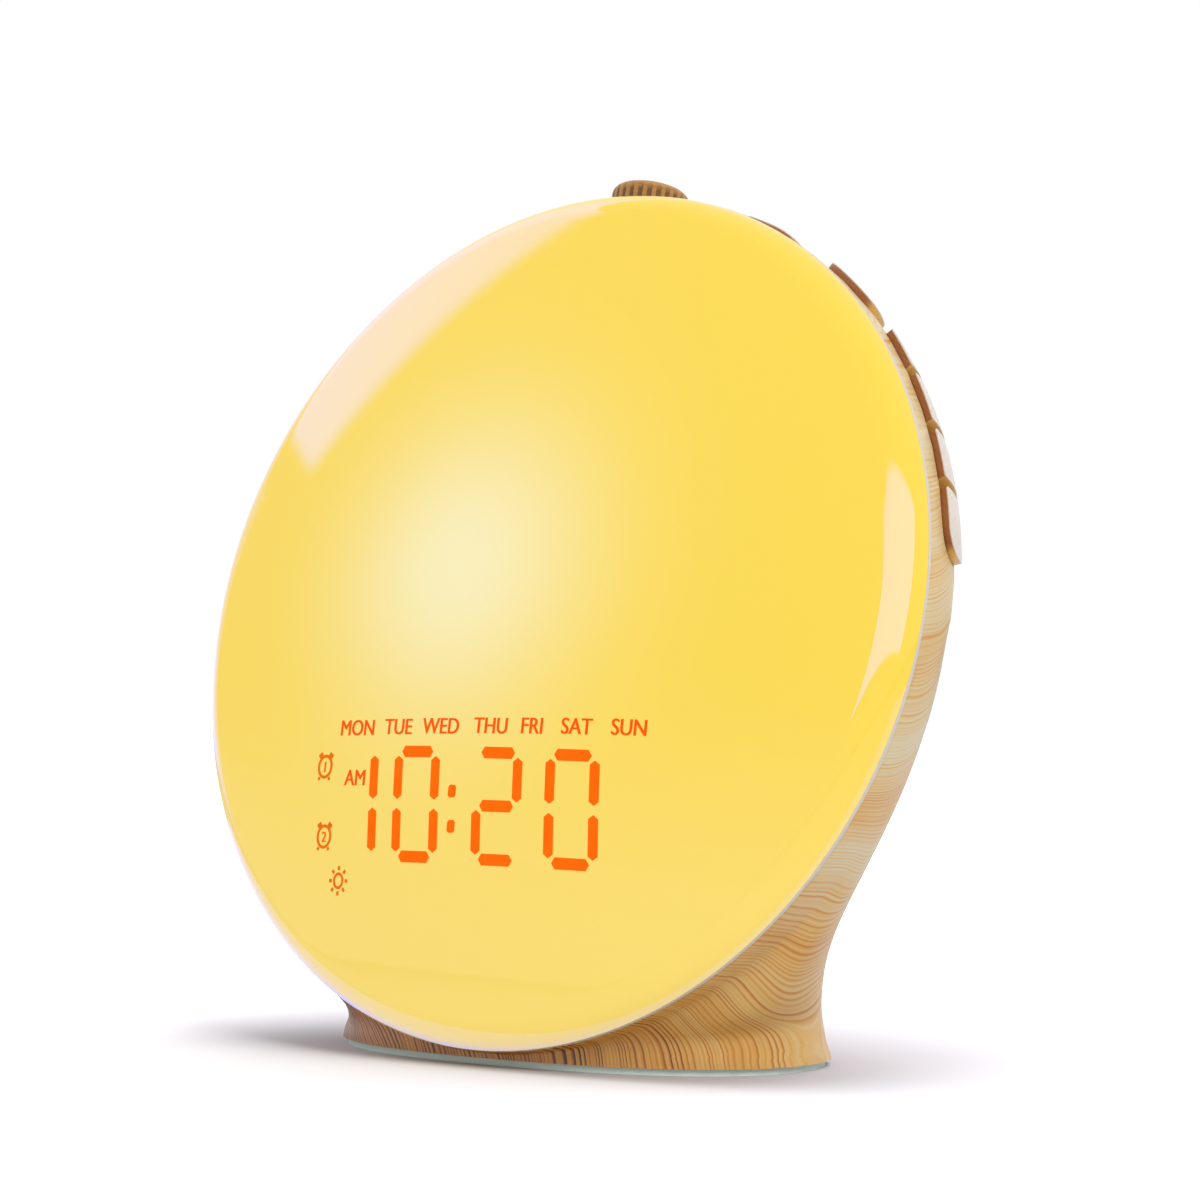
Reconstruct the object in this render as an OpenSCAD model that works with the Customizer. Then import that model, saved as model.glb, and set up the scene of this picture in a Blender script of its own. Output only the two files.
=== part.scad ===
// Sunrise alarm clock: a glowing dome on a wood-grain housing that leans back on one foot.
// Origin: centre of the foot, on the table. +Z up, -Y to the front. Millimetres.

/* [Face] */
// Radius of the round face
face_r = 85; // [80:0.5:90]
// Backward lean of the face, degrees
lean = 15; // [12:0.5:18]
// Height of the rim's lowest point above the table
rim_up = 2.9; // [2.9:0.1:5.9]
// Distance of the face's centre in front of the foot's centre
face_ahead = 9; // [7:0.5:12]

/* [Dome] */
// Height of the dome's top above the rim
dome_rise = 16; // [14:0.5:20]
// Radius of the dome's rounded edge
dome_edge = 7; // [5:0.5:9]
// Thickness of the dome
dome_wall = 2; // [1.5:0.1:2.5]
// Width of the lip that centres the dome
lip_w = 2; // [1.2:0.1:2.4]
// Depth of the lip below the rim
lip_deep = 1.2; // [0.8:0.1:1.3]

/* [Housing] */
// Thickness of the housing's wall
wall = 2.4; // [2:0.1:2.8]
// Radius of the rounded side behind the rim
side_r = 29; // [26:0.5:32]
// How far that side turns before the back begins, degrees
side_turn = 55; // [50:1:65]
// Radius of the softened join between bowl and neck
blend = 21.8; // [14:0.2:26]

/* [Foot] */
// Half of the foot's width
foot_x = 54; // [50:0.5:60]
// Half of the foot's depth
foot_y = 28.5; // [26:0.5:32]
// Squareness of the foot's outline: 2 is an ellipse
foot_square = 2.3; // [2:0.1:3]
// How much the neck narrows on each side
neck_in = 13.8; // [10:0.2:18]
// How much the neck thins in front and behind
neck_thin = 8; // [4:0.5:10]
// Height over which the neck narrows
neck_h = 132; // [110:1:150]
// Thickness of the soft pad under the foot
pad_t = 1.3; // [1:0.1:2]
// Inset of the pad from the housing's edge
pad_in = 0.7; // [0.4:0.1:1.2]
// Thickness of the base plate
base_t = 2; // [1.6:0.1:2.6]
// Distance of the base screws inside the foot's ends
base_screw_in = 12; // [11:0.5:14]
// Radius of the base screws' bosses
base_boss_r = 3.5; // [3:0.1:4]
// Height of those bosses
base_boss_h = 11; // [9:0.5:14]

/* [Front frame] */
// Thickness of the frame's flange between dome and housing
flange_t = 0.8; // [0.6:0.1:1]
// Thickness of the frame's tube
frame_wall = 2.2; // [1.8:0.1:2.4]
// Depth of the frame's floor behind the rim
floor_z = 4.5; // [4:0.1:4.6]
// Thickness of the frame's floor
floor_t = 1.5; // [1.2:0.1:1.6]
// Distance of the rails that carry the key boards inside the rim
rail_in = 16.5; // [16:0.1:16.8]
// How far the frame's floor reaches inside those rails
floor_step = 1.1; // [0.8:0.1:1.6]
// Thickness of those rails
rail_t = 1.4; // [1.2:0.1:1.5]
// Thickness of the reflector plate
reflector_t = 1.2; // [1:0.1:1.4]
// Distance of the reflector screws inside the rim
reflector_screw_in = 12; // [11:0.1:13]

/* [Side keys] */
// Angles where each single key begins, above the level of the face's centre
single_starts = [62.8, 46];
// Angle that a single key covers
single_span = 10.5; // [9:0.1:11]
// Angle of the strip's lower end
strip_low = 8.5; // [8:0.1:9.5]
// Angle of the strip's upper end
strip_high = 40.8; // [40:0.1:42]
// Angles of the three cuts in the strip
strip_cuts = [17.5, 25.5, 33.9];
// Width of a cut, degrees
cut_w = 1.2; // [1:0.1:1.6]
// Distance of the keys' front wall behind the rim
key_front = 5; // [4.9:0.1:6]
// Width of the keys from front to back
key_w = 11.5; // [10:0.1:12]
// Height of the keys above the housing
key_proud = 1.4; // [1.1:0.1:1.8]
// Corner radius of the round key ends
key_round = 5; // [3:0.1:5.2]
// Corner radius of the square key ends
key_corner = 0.8; // [0.4:0.1:1.5]
// Thickness of the keys' inner flange
key_flange = 1.4; // [1.2:0.1:1.6]
// Travel of the side keys
key_travel = 0.8; // [0.4:0.1:0.9]
// Side of the square key switches
switch_w = 6; // [5:0.1:6.5]
// Radius of a switch plunger
plunger_r = 1.6; // [1.2:0.1:1.9]
// Length of a switch plunger
plunger_l = 2.6; // [2.4:0.1:2.9]

/* [Top knob] */
// Radius of the knob
knob_r = 7.8; // [7:0.1:8]
// Height of the knob's top above the rim
knob_up = 5.2; // [4:0.1:6]
// Length of the knob
knob_l = 12.2; // [12:0.1:12.6]
// Distance of the knob's axis behind the rim
knob_back = 9.2; // [9.2:0.1:10]
// Number of flutes round the knob
knob_flutes = 26; // [20:1:30]
// Travel of the knob when it is pushed
knob_travel = 0.8; // [0.5:0.1:1]
// Radius of the encoder's shaft
shaft_r = 3; // [2.5:0.1:3.2]
// Outer radius of the encoder's rotor
rotor_r = 4.5; // [4.2:0.1:4.8]
// Side of the encoder's body across
encoder_w = 12; // [11:0.1:13]

/* [Rear cover] */
// Height of the cover's axis above the face's centre
cover_up = 5; // [3:0.5:7]
// Downward tilt of the cover's axis, degrees
cover_tilt = 7; // [6:0.5:8]
// Radius of the cover
cover_r = 40; // [38:0.5:40.5]
// How deep the cover's rim lies in the housing's back
cover_sunk = 0.3; // [0:0.1:0.7]
// Height of the cover's domed middle above its rim
cover_rise = 5.2; // [4:0.1:5.6]
// Thickness of the cover
cover_t = 2.2; // [1.8:0.1:2.6]
// Width of the ledge that the cover lies on
ledge_w = 5; // [4.6:0.1:5.4]
// Radius of the grille's holes
grille_hole = 1.1; // [0.8:0.1:1.4]
// Distance between the grille's rings of holes
grille_pitch = 4.2; // [3.6:0.1:4.6]
// Number of rings round the grille's middle hole
grille_rings = 3; // [2:1:4]

/* [Speaker and sockets] */
// Height of the speaker above the cover's axis
speaker_up = 9; // [8:0.5:10]
// Radius of the speaker
speaker_r = 24; // [22:0.5:24.5]
// Depth of the speaker's basket
basket_l = 11; // [9:0.5:12]
// Radius of the magnet
magnet_r = 13; // [11:0.5:14]
// Thickness of the magnet
magnet_t = 6; // [4:0.5:7]
// Distance of the sockets below the cover's axis
socket_down = 24; // [23:0.5:24.5]
// Distance of each socket to the side
socket_side = 10; // [9.5:0.5:11]
// Bore of the power jack
jack_bore = 6.2; // [5.8:0.1:6.4]
// Diameter of the power jack's pin
jack_pin_d = 2; // [1.6:0.1:2.4]
// Width of the USB socket
usb_w = 13.1; // [12.8:0.1:13.4]
// Height of the USB socket
usb_h = 5.7; // [5.4:0.1:6]

/* [Display] */
// Height of the display's middle above the rim's lowest point, up the face
display_up = 44; // [43.5:0.5:47]
// Width of the display
display_w = 88; // [87:0.5:89]
// Height of the display
display_h = 38; // [37.5:0.5:39]
// Height of a digit
digit_h = 22.1; // [18:0.1:22.6]
// Width of a digit
digit_w = 11.6; // [11:0.1:12]
// Distance from digit to digit
digit_pitch = 16.5; // [16:0.1:16.8]
// Extra distance at the colon
colon_gap = 3.5; // [3:0.1:4]
// Stroke of a digit's segments
stroke = 2.2; // [1.8:0.1:2.6]
// Distance of the digits' middle to the side
digits_x = -4.5; // [-4.8:0.1:-2]
// Width of a weekday's window
word_w = 9.4; // [8.6:0.1:9.8]
// Height of a weekday's window
word_h = 3.6; // [3:0.1:3.8]
// Distance from weekday to weekday
word_pitch = 11; // [10.8:0.1:11.2]
// Height of the weekdays above the display's middle
word_up = 14.9; // [14:0.1:15.2]
// Side of a sign's window
sign_w = 5; // [4:0.1:5.2]
// Distances of the three signs from the display's middle
sign_places = [[-40, 7], [-40, -6.5], [-33.5, -14.9]];

/* [Boards] */
// Thickness of the circuit boards
board_t = 1.6; // [1.2:0.1:1.6]
// Thickness of the flexible key boards
key_board_t = 1.1; // [0.8:0.1:1.2]
// Radius of the round LED board
led_board_r = 30; // [26:0.5:32]
// Height of the LED board above the face's centre
led_up = 14; // [13:0.5:18]
// Side of an LED package
led_w = 3.5; // [2.8:0.1:4]
// Number of LEDs in the outer ring
led_ring = 12; // [8:1:14]
// Width of the main board
main_w = 92; // [80:0.5:96]
// Height of the main board
main_h = 60; // [54:0.5:62]
// Distance of the main board behind the reflector
main_back = 7; // [6:0.1:8]

/* [Fits] */
// Clearance between fixed pieces
fit = 0.3; // [0.2:0.05:0.4]
// Clearance round keys and knob
key_fit = 0.35; // [0.25:0.05:0.4]
// Clearance of turning and sliding shafts
run = 0.06; // [0.03:0.01:0.09]
// Radius of the screws
screw_r = 1.2; // [1:0.05:1.3]
// Radius of the screw heads
head_r = 2.1; // [1.9:0.1:2.3]
// Height of the screw heads
head_t = 1.2; // [1:0.1:1.2]
// Length of the screws under the head
screw_l = 7; // [6:0.5:7.5]

/* [Hidden] */
$fn = 64;
right_keys = [for (i = [1:6]) str("right_key_", i)];
left_keys = [for (i = [1:6]) str("left_key_", i)];
right_plungers = [for (i = [1:6]) str("right_plunger_", i)];
left_plungers = [for (i = [1:6]) str("left_plunger_", i)];

// Longer than any wall that is cut through
through = 40;

// The face's own frame: x to the right, y up the face, z out of the face, zero at the rim
face_z = rim_up + face_r * cos(lean);
face_c = [0, -face_ahead, face_z];
face_up = [0, sin(lean), cos(lean)];
face_out = [0, -cos(lean), sin(lean)];

// The bowl: a rounded side, then a domed back, both turned about the face's axis
core_r = face_r - side_r;
back_r = (core_r + side_r * cos(side_turn)) / cos(side_turn);
back_c = side_r * sin(side_turn) - back_r * sin(side_turn);

// The line along the front of the foot that the housing's rings fan out from
fan_h = (face_z - pad_t) / cos(lean);
fan_line = face_c - fan_h * face_up;
ring_rays = 64;
side_rings = 10;
back_rings = 7;
foot_rings = 13;
neck_over = 15;
neck_top = face_z + neck_over;

// Everything that stands on the face's frame, as depths behind the rim
tube_r = core_r + sqrt(pow(side_r - wall, 2) - floor_z * floor_z) - fit - 0.1;
tube_in = tube_r - frame_wall;
seat_z = -floor_z + floor_t;
plate_z = seat_z + reflector_t;
plate_r = tube_in - fit;
board_z = plate_z + board_t;
rail_r = face_r - rail_in;
floor_r = rail_r - floor_step;
reflector_screw_r = face_r - reflector_screw_in;
display_down = face_r - display_up;
main_z = seat_z - main_back;
post_r = 3;
pilot_r = screw_r + 0.03;

// The dome's arc and cap, tangent to each other
cap_r = (pow(face_r - dome_edge, 2) + dome_rise * dome_rise - dome_edge * dome_edge)
    / (2 * (dome_rise - dome_edge));
cap_turn = atan2(cap_r - dome_rise, face_r - dome_edge);

// Side keys: lower angle, upper angle, corner radius at each, growth of the slot at each
fit_turn = key_fit / face_r * 180 / PI;
half_cut = cut_w / 2;
cut_turn = half_cut + 0.05;
right_list = concat(
    [for (a = single_starts) [a, a + single_span, key_round, key_round, fit_turn, fit_turn]],
    [[strip_cuts[2] + half_cut, strip_high, key_corner, key_corner, cut_turn, fit_turn],
     [strip_cuts[1] + half_cut, strip_cuts[2] - half_cut, key_corner, key_corner, cut_turn, cut_turn],
     [strip_cuts[0] + half_cut, strip_cuts[1] - half_cut, key_corner, key_corner, cut_turn, cut_turn],
     [strip_low, strip_cuts[0] - half_cut, key_round, key_corner, fit_turn, cut_turn]]);
left_list = [for (k = right_list) [180 - k[1], 180 - k[0], k[3], k[2], k[5], k[4]]];
key_list = concat(right_list, left_list);
key_mid = key_front + key_w / 2;
flange_out = side_r - wall - fit;
key_lip = 1.4;
flange_front = core_r + sqrt(flange_out * flange_out - pow(key_front - 0.1, 2));
flange_back = core_r + sqrt(flange_out * flange_out - pow(key_front + key_w + key_lip, 2));
function flange_at(s) = flange_front
    - (flange_front - flange_back) * (s - key_front + 0.1) / (key_w + key_lip + 0.1);
key_board_r = rail_r + rail_t + 0.1;
switch_r = key_board_r + key_board_t + 0.05;
switch_top = switch_r + 3.05;
plunger_end = switch_top - 0.8;
plunger_top = plunger_end + plunger_l;
board_low = strip_low - 3;
board_high = single_starts[0] + single_span + 2;

// Knob and encoder, as heights up the face
knob_top = face_r + knob_up;
knob_low = knob_top - knob_l;
encoder_z = rail_r + board_t;
encoder_h = 6;
rotor_low = encoder_z + 1.5;
rotor_top = rotor_low + 5.5;
shaft_low = rotor_low + knob_travel + 0.3;
shaft_top = knob_top - 2.6;
notch_x = knob_r + 2 * key_fit;

// Rear cover, as distances behind the foot's centre along its axis: the bowl's back is met first
cover_z = face_z + cover_up;
cover_dir = [0, cos(cover_tilt), -sin(cover_tilt)];
cover_from = [0, 0, cover_z] - face_c + back_c * face_out;
cover_turn = cover_from * cover_dir;
back_out = sqrt(cover_turn * cover_turn - cover_from * cover_from + back_r * back_r) - cover_turn;
cover_out = back_out - back_r + sqrt(back_r * back_r - cover_r * cover_r) - cover_sunk;
cover_dome = (cover_r * cover_r + cover_rise * cover_rise) / (2 * cover_rise);
cover_middle = cover_out + cover_rise - cover_dome;
cover_seat = cover_out - cover_t;
cover_in = cover_r - ledge_w;
cover_screw_r = cover_r - ledge_w / 2;
jack_w = 9;
jack_l = 12;
nose_r = jack_bore / 2 + 0.8;
usb_l = 14;
usb_shell = 0.4;

function unit_clamp(t) = min(1, max(0, t));
function ease(t) = let (u = unit_clamp(t)) u * u * (3 - 2 * u);

base_screw_x = foot_x - base_screw_in;

// How far a point lies outside the bowl
function bowl_gap(p) =
    let (q = p - face_c, s = -(q * face_out), r = norm([q.x, q * face_up]), a = atan2(s, r - core_r))
    r > core_r && a < side_turn ? norm([r - core_r, s]) - side_r : norm([r, s - back_c]) - back_r;

// How far a point lies outside the neck, an oval column that narrows upward and ends in the bowl
function neck_gap(p) =
    let (w = 1 - pow(1 - unit_clamp((p.z - pad_t) / neck_h), 2))
    let (hx = foot_x - neck_in * w, hy = foot_y - neck_thin * w)
    let (e = pow(pow(abs(p.x) / hx, foot_square) + pow(abs(p.y) / hy, foot_square), 1 / foot_square))
    max((e - 1) * min(hx, hy), p.z - neck_top);

// The two forms run into each other softly, except at the rim and at the foot's edge
function skin_gap(p, inset) =
    let (s = -((p - face_c) * face_out), k = blend * ease(s / 15) * ease((p.z - pad_t) / 12) + 0.001)
    let (a = neck_gap(p), b = bowl_gap(p), h = unit_clamp(0.5 + 0.5 * (a - b) / k))
    a * (1 - h) + b * h - k * h * (1 - h) + inset;

// Distance from a point inside to the skin, by halving
function reach(from, dir, inset, low = 0, high = 180, turns = 24) =
    turns == 0 ? low :
    let (mid = (low + high) / 2)
    skin_gap(from + dir * mid, inset) < 0 ? reach(from, dir, inset, mid, high, turns - 1)
        : reach(from, dir, inset, low, mid, turns - 1);

// Fan angles: first through the bowl's profile at the top, then evenly down to the foot
function profile_fan(a) =
    let (r = a < side_turn ? core_r + side_r * cos(a) : back_r * cos(a))
    let (s = a < side_turn ? side_r * sin(a) : back_c + back_r * sin(a))
    90 - lean - atan2(s, r + fan_h);
fan_angles = concat(
    [for (i = [0:side_rings - 1]) profile_fan(side_turn * i / side_rings)],
    [for (i = [0:back_rings - 1]) profile_fan(side_turn + (90 - side_turn) * i / back_rings)],
    [for (i = [0:foot_rings]) profile_fan(90) * (1 - i / foot_rings)]);

function ring(fan, inset) =
    let (d = [0, cos(fan), sin(fan)], far = 6 + reach(fan_line + d * 6, d, inset))
    let (c = fan_line + d * (far + 1.7) / 2)
    [for (i = [0:ring_rays - 1])
        let (u = 360 * i / ring_rays, dir = [cos(u), 0, 0] + sin(u) * d)
        c + dir * reach(c, dir, inset, 0, 120)];

module on_face() {
    translate(face_c) rotate([90 - lean, 0, 0]) children();
}

module on_back() {
    translate([0, 0, cover_z]) rotate([-90 - cover_tilt, 0, 0]) children();
}

// Local z points outward from the face's axis at the given angle, x is the depth behind the rim
module at_rim(angle, r) {
    rotate([0, 0, angle]) translate([r, 0, 0]) rotate([0, 90, 0]) children();
}

module up_the_face() {
    rotate([-90, 0, 0]) mirror([0, 1, 0]) children();
}

module ring_band(r0, r1, z0, z1) {
    rotate_extrude() translate([r0, z0]) square([r1 - r0, z1 - z0]);
}

module sector(a0, a1) {
    rotate([0, 0, a0]) rotate_extrude(angle = a1 - a0) children();
}

module screw() {
    cylinder(r = head_r, h = head_t);
    translate([0, 0, -screw_l]) cylinder(r = screw_r, h = screw_l);
}

function oval(inset) =
    let (k = 1 - inset / foot_y)
    [for (i = [0:79])
        let (a = 360 * i / 80, c = cos(a), s = sin(a))
        [sign(c) * k * foot_x * pow(abs(c), 2 / foot_square),
         sign(s) * k * foot_y * pow(abs(s), 2 / foot_square)]];

// ---------------------------------------------------------------- housing

module housing_shell() {
    n = ring_rays;
    m = len(fan_angles);
    outer = [for (a = fan_angles) each ring(a, 0)];
    inner = [for (a = fan_angles) each ring(a, wall)];
    faces = [for (j = [0:m - 1], i = [0:n - 1])
        let (k = (i + 1) % n, a = j * n + i, b = j * n + k, in = m * n)
        each j == m - 1
            ? [[a, b, b + in], [a, b + in, a + in]]
            : [[a, b, b + n], [a, b + n, a + n],
               [a + in, b + n + in, b + in], [a + in, a + n + in, b + n + in]]];
    rim = [for (i = [0:n - 1])
        let (k = (i + 1) % n, in = m * n)
        each [[i, k + in, k], [i, i + in, k + in]]];
    polyhedron(concat(outer, inner), concat(faces, rim), convexity = 6);
}

// A block through the rim, seen from outside as a rectangle with rounded corners at its two ends
module rim_patch(a0, a1, s0, s1, q0, q1) {
    half = face_r * sin((a1 - a0) / 2);
    at_rim((a0 + a1) / 2, core_r + 2)
        linear_extrude(side_r + 8) {
            translate([s0, q0 - half]) square([s1 - s0, 2 * half - q0 - q1]);
            translate([s0 + q0, -half]) square([s1 - s0 - 2 * q0, half]);
            translate([s0 + q1, 0]) square([s1 - s0 - 2 * q1, half]);
            for (x = [-1, 1]) {
                translate([(s0 + s1) / 2 + x * ((s1 - s0) / 2 - q0), q0 - half]) circle(r = q0);
                translate([(s0 + s1) / 2 + x * ((s1 - s0) / 2 - q1), half - q1]) circle(r = q1);
            }
        }
}

module key_slot(key) {
    rim_patch(key[0] - key[4], key[1] + key[5], key_front - key_fit, key_front + key_w + key_fit,
        key[2], key[3]);
}

module cover_ledge() {
    ledge = 2;
    rotate_extrude()
        polygon([[cover_in, cover_seat - ledge], [cover_r + wall + fit, cover_seat - ledge],
            [cover_r + wall + fit, cover_out - 0.1], [cover_r + fit, cover_out + 0.6],
            [cover_r + fit, cover_seat], [cover_in, cover_seat]]);
}

module cover_screw_places() {
    for (i = [0:3]) rotate([0, 0, 45 + 90 * i]) translate([cover_screw_r, 0, 0]) children();
}

module housing() {
    color("burlywood")
        difference() {
            union() {
                difference() {
                    housing_shell();
                    on_face() {
                        for (key = key_list) key_slot(key);
                        translate([0, 0, -knob_back]) up_the_face()
                            translate([0, 0, core_r]) cylinder(r = knob_r + key_fit, h = side_r + 10);
                    }
                    on_back() translate([0, 0, cover_seat - 6]) cylinder(r = cover_r + fit, h = through);
                }
                on_back() {
                    cover_ledge();
                    cover_screw_places()
                        translate([0, 0, cover_seat - screw_l - 1]) cylinder(r = ledge_w / 2, h = screw_l);
                }
                for (side = [-1, 1]) {
                    translate([side * base_screw_x, 0, pad_t + base_t])
                        cylinder(r = base_boss_r, h = base_boss_h);
                    translate([side * (base_screw_x + 4), 0, pad_t + base_t + base_boss_h / 2])
                        cube([8, 2.4, base_boss_h], center = true);
                }
            }
            on_back() cover_screw_places()
                translate([0, 0, cover_seat - screw_l]) cylinder(r = pilot_r, h = screw_l + 1);
            for (side = [-1, 1])
                translate([side * base_screw_x, 0, pad_t]) cylinder(r = pilot_r, h = screw_l + 1.5);
        }
}

// ---------------------------------------------------------------- dome and frame

// Points of the dome's profile at a distance inside its surface
function dome_profile(inset) = concat(
    [for (i = [0:8])
        let (a0 = asin(flange_t / (dome_edge - inset)), a = a0 + (cap_turn - a0) * i / 8)
        [face_r - dome_edge + (dome_edge - inset) * cos(a), (dome_edge - inset) * sin(a)]],
    [for (i = [1:14])
        let (a = cap_turn + (90 - cap_turn) * i / 14)
        [(cap_r - inset) * cos(a), dome_rise - cap_r + (cap_r - inset) * sin(a)]]);

module diffuser_dome() {
    inner = dome_profile(dome_wall);
    lip_r = plate_r + 0.1;
    color("khaki")
        on_face()
            rotate_extrude()
                polygon(concat(dome_profile(0), [for (i = [len(inner) - 1:-1:1]) inner[i]],
                    [[lip_r - lip_w, inner[1].y], [lip_r - lip_w, -lip_deep], [lip_r, -lip_deep],
                     [lip_r, flange_t]]));
}

module knob_notch(low) {
    translate([-notch_x, low, -knob_back - notch_x]) cube([2 * notch_x, face_r, 2 * notch_x]);
}

module reflector_screw_places() {
    for (a = [79, 101, 190, 246, 294, 350])
        rotate([0, 0, a]) translate([reflector_screw_r, 0, 0]) children();
}

module key_rail(low, high) {
    sector(low, high) translate([rail_r, -key_front - key_w - 1.5])
        square([rail_t, key_front + key_w + 1.5 - floor_z + 0.5]);
}

module front_frame() {
    color("gainsboro")
        on_face()
            difference() {
                union() {
                    ring_band(tube_in, face_r, 0, flange_t);
                    ring_band(tube_in, tube_r, -floor_z, flange_t / 2);
                    ring_band(floor_r, tube_r, -floor_z, seat_z);
                    key_rail(board_low, board_high);
                    key_rail(180 - board_high, 180 - board_low);
                    reflector_screw_places()
                        translate([0, 0, seat_z - screw_l]) cylinder(r = 2 * screw_r, h = screw_l);
                    translate([-encoder_w / 2, floor_r, -knob_back - encoder_w / 2])
                        cube([encoder_w, rail_r - floor_r, knob_back + encoder_w / 2 - floor_z + 0.5]);
                }
                knob_notch(rail_r);
                reflector_screw_places()
                    translate([0, 0, plate_z - screw_l]) cylinder(r = pilot_r, h = screw_l + 1);
            }
}

module main_post_places() {
    for (x = [-1, 1], y = [-1, 1])
        translate([x * (main_w / 2 - 5), y * (main_h / 2 - 5), 0]) children();
}

module reflector_plate() {
    color("whitesmoke")
        on_face()
            difference() {
                union() {
                    translate([0, 0, seat_z]) cylinder(r = plate_r, h = reflector_t);
                    main_post_places()
                        translate([0, 0, main_z]) cylinder(r = post_r, h = main_back + 0.5);
                }
                knob_notch(knob_low - knob_travel - fit);
                reflector_screw_places()
                    translate([0, 0, seat_z - 1]) cylinder(r = pilot_r, h = reflector_t + 2);
                main_post_places()
                    translate([0, 0, main_z - 1]) cylinder(r = pilot_r, h = main_back - 0.5);
            }
}

module reflector_screws() {
    color("silver") on_face() reflector_screw_places() translate([0, 0, plate_z]) screw();
}

// ---------------------------------------------------------------- light and display

module led_board() {
    color("white") on_face() translate([0, led_up, plate_z]) cylinder(r = led_board_r, h = board_t);
}

module led_packages() {
    color("lemonchiffon")
        on_face()
            translate([0, led_up, board_z + 0.7]) {
                for (i = [0:led_ring - 1])
                    rotate([0, 0, 360 * i / led_ring]) translate([led_board_r - 5, 0, 0])
                        cube([led_w, led_w, 1.4], center = true);
                for (i = [0:5])
                    rotate([0, 0, 60 * i]) translate([led_board_r / 2 - 2, 0, 0])
                        cube([led_w, led_w, 1.4], center = true);
            }
}

module at_display() {
    on_face() translate([0, -display_down, plate_z]) children();
}

module display_board() {
    color("darkgreen")
        at_display() translate([-display_w / 2, -display_h / 2, 0]) cube([display_w, display_h, board_t]);
}

// One bar of a digit: a flat hexagon with pointed ends
module bar(length, grow) {
    w = stroke / 2 + grow;
    l = length / 2 - 0.35 + grow;
    polygon([[-l, 0], [w - l, w], [l - w, w], [l, 0], [l - w, -w], [w - l, -w]]);
}

module digit(grow) {
    across = digit_w - stroke;
    down = (digit_h - stroke) / 2;
    for (y = [-1:1]) translate([0, y * down]) bar(across, grow);
    for (x = [-1, 1], y = [-1, 1])
        translate([x * across / 2, y * down / 2]) rotate([0, 0, 90]) bar(down, grow);
}

module window(w, h, grow) {
    square([w + 2 * grow, h + 2 * grow], center = true);
}

// Four digits with their colon, the row of weekdays and the three signs at the left
module display_marks(grow) {
    for (i = [0:3])
        translate([digits_x + (i - 1.5) * digit_pitch + (i < 2 ? -colon_gap : colon_gap) / 2, 0])
            digit(grow);
    for (y = [-1, 1]) translate([digits_x, y * digit_h / 7]) window(stroke, stroke + 0.7, grow);
    for (i = [-3:3]) translate([i * word_pitch, word_up]) window(word_w, word_h, grow);
    for (p = sign_places) translate(p) window(sign_w, sign_w, grow);
}

// The light channels end just under the dome, so that the digits stay sharp on it
module under_dome() {
    intersection() {
        on_face()
            rotate_extrude()
                intersection() {
                    translate([0, dome_rise - cap_r]) circle(r = cap_r - dome_wall - fit, $fn = 720);
                    translate([0, board_z]) square([face_r - dome_edge, dome_rise]);
                }
        at_display() translate([0, 0, board_t - 1]) linear_extrude(dome_rise + 9) children();
    }
}

module display_shroud() {
    color("ivory")
        under_dome()
            difference() {
                square([display_w - 2, display_h - 2], center = true);
                display_marks(0.1);
            }
}

module display_segments() {
    color("orangered") under_dome() display_marks(0);
}

// ---------------------------------------------------------------- main board

module main_board() {
    color("darkgreen")
        on_face()
            difference() {
                translate([-main_w / 2, -main_h / 2, main_z - board_t]) cube([main_w, main_h, board_t]);
                main_post_places()
                    translate([0, 0, main_z - board_t - 1]) cylinder(r = pilot_r, h = board_t + 2);
            }
}

// Chips, by the distances of a corner from the board's lower left corner, and their sizes
chips = [[16, 34, 12, 12, 1.2], [40, 40, 8, 8, 1.2], [42, 14, 6, 9, 1], [34, 12, 5, 5, 4]];
capacitor_r = 3;
capacitor_h = 6;
capacitor_places = [[14, 14], [24, 14]];

module main_board_chips() {
    color("dimgray")
        on_face()
            translate([-main_w / 2, -main_h / 2, main_z - board_t]) {
                for (c = chips) translate([c[0], c[1], -c[4]]) cube([c[2], c[3], c[4]]);
                for (p = capacitor_places)
                    translate([p.x, p.y, -capacitor_h]) cylinder(r = capacitor_r, h = capacitor_h);
            }
}

module main_board_screws() {
    color("silver")
        on_face() main_post_places() translate([0, 0, main_z - board_t])
            mirror([0, 0, 1]) {
                cylinder(r = head_r, h = head_t);
                translate([0, 0, -main_back + 1]) cylinder(r = screw_r, h = main_back - 1);
            }
}

cell_r = 10;
cell_t = 3.2;
cell_place = [20, 22];

module at_cell() {
    on_face()
        translate([main_w / 2 - cell_place.x, cell_place.y - main_h / 2, main_z - board_t])
            mirror([0, 0, 1]) children();
}

module coin_cell_holder() {
    color("black")
        at_cell()
            difference() {
                cylinder(r = cell_r + 1.6, h = cell_t + 1);
                translate([0, 0, 1]) cylinder(r = cell_r + 0.1, h = cell_t + 1);
                translate([-3, cell_r - 3, 1]) cube([6, 6, cell_t + 1]);
            }
}

module coin_cell() {
    color("lightgray") at_cell() translate([0, 0, 1]) cylinder(r = cell_r, h = cell_t);
}

// ---------------------------------------------------------------- rear cover

module cover_cap(r, sphere_r, low) {
    rotate_extrude()
        intersection() {
            translate([0, cover_middle]) circle(r = sphere_r, $fn = 400);
            translate([0, low]) square([r, through]);
        }
}

module grille_places() {
    for (k = [0:grille_rings])
        for (i = [0:max(1, 6 * k) - 1])
            rotate([0, 0, 15 + 360 * i / max(1, 6 * k)]) translate([k * grille_pitch, 0, 0]) children();
}

module at_speaker() {
    on_back() translate([0, -speaker_up, 0]) children();
}

module at_jack() {
    on_back() translate([-socket_side, socket_down, 0]) children();
}

module at_usb() {
    on_back() translate([socket_side, socket_down, 0]) children();
}

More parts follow.
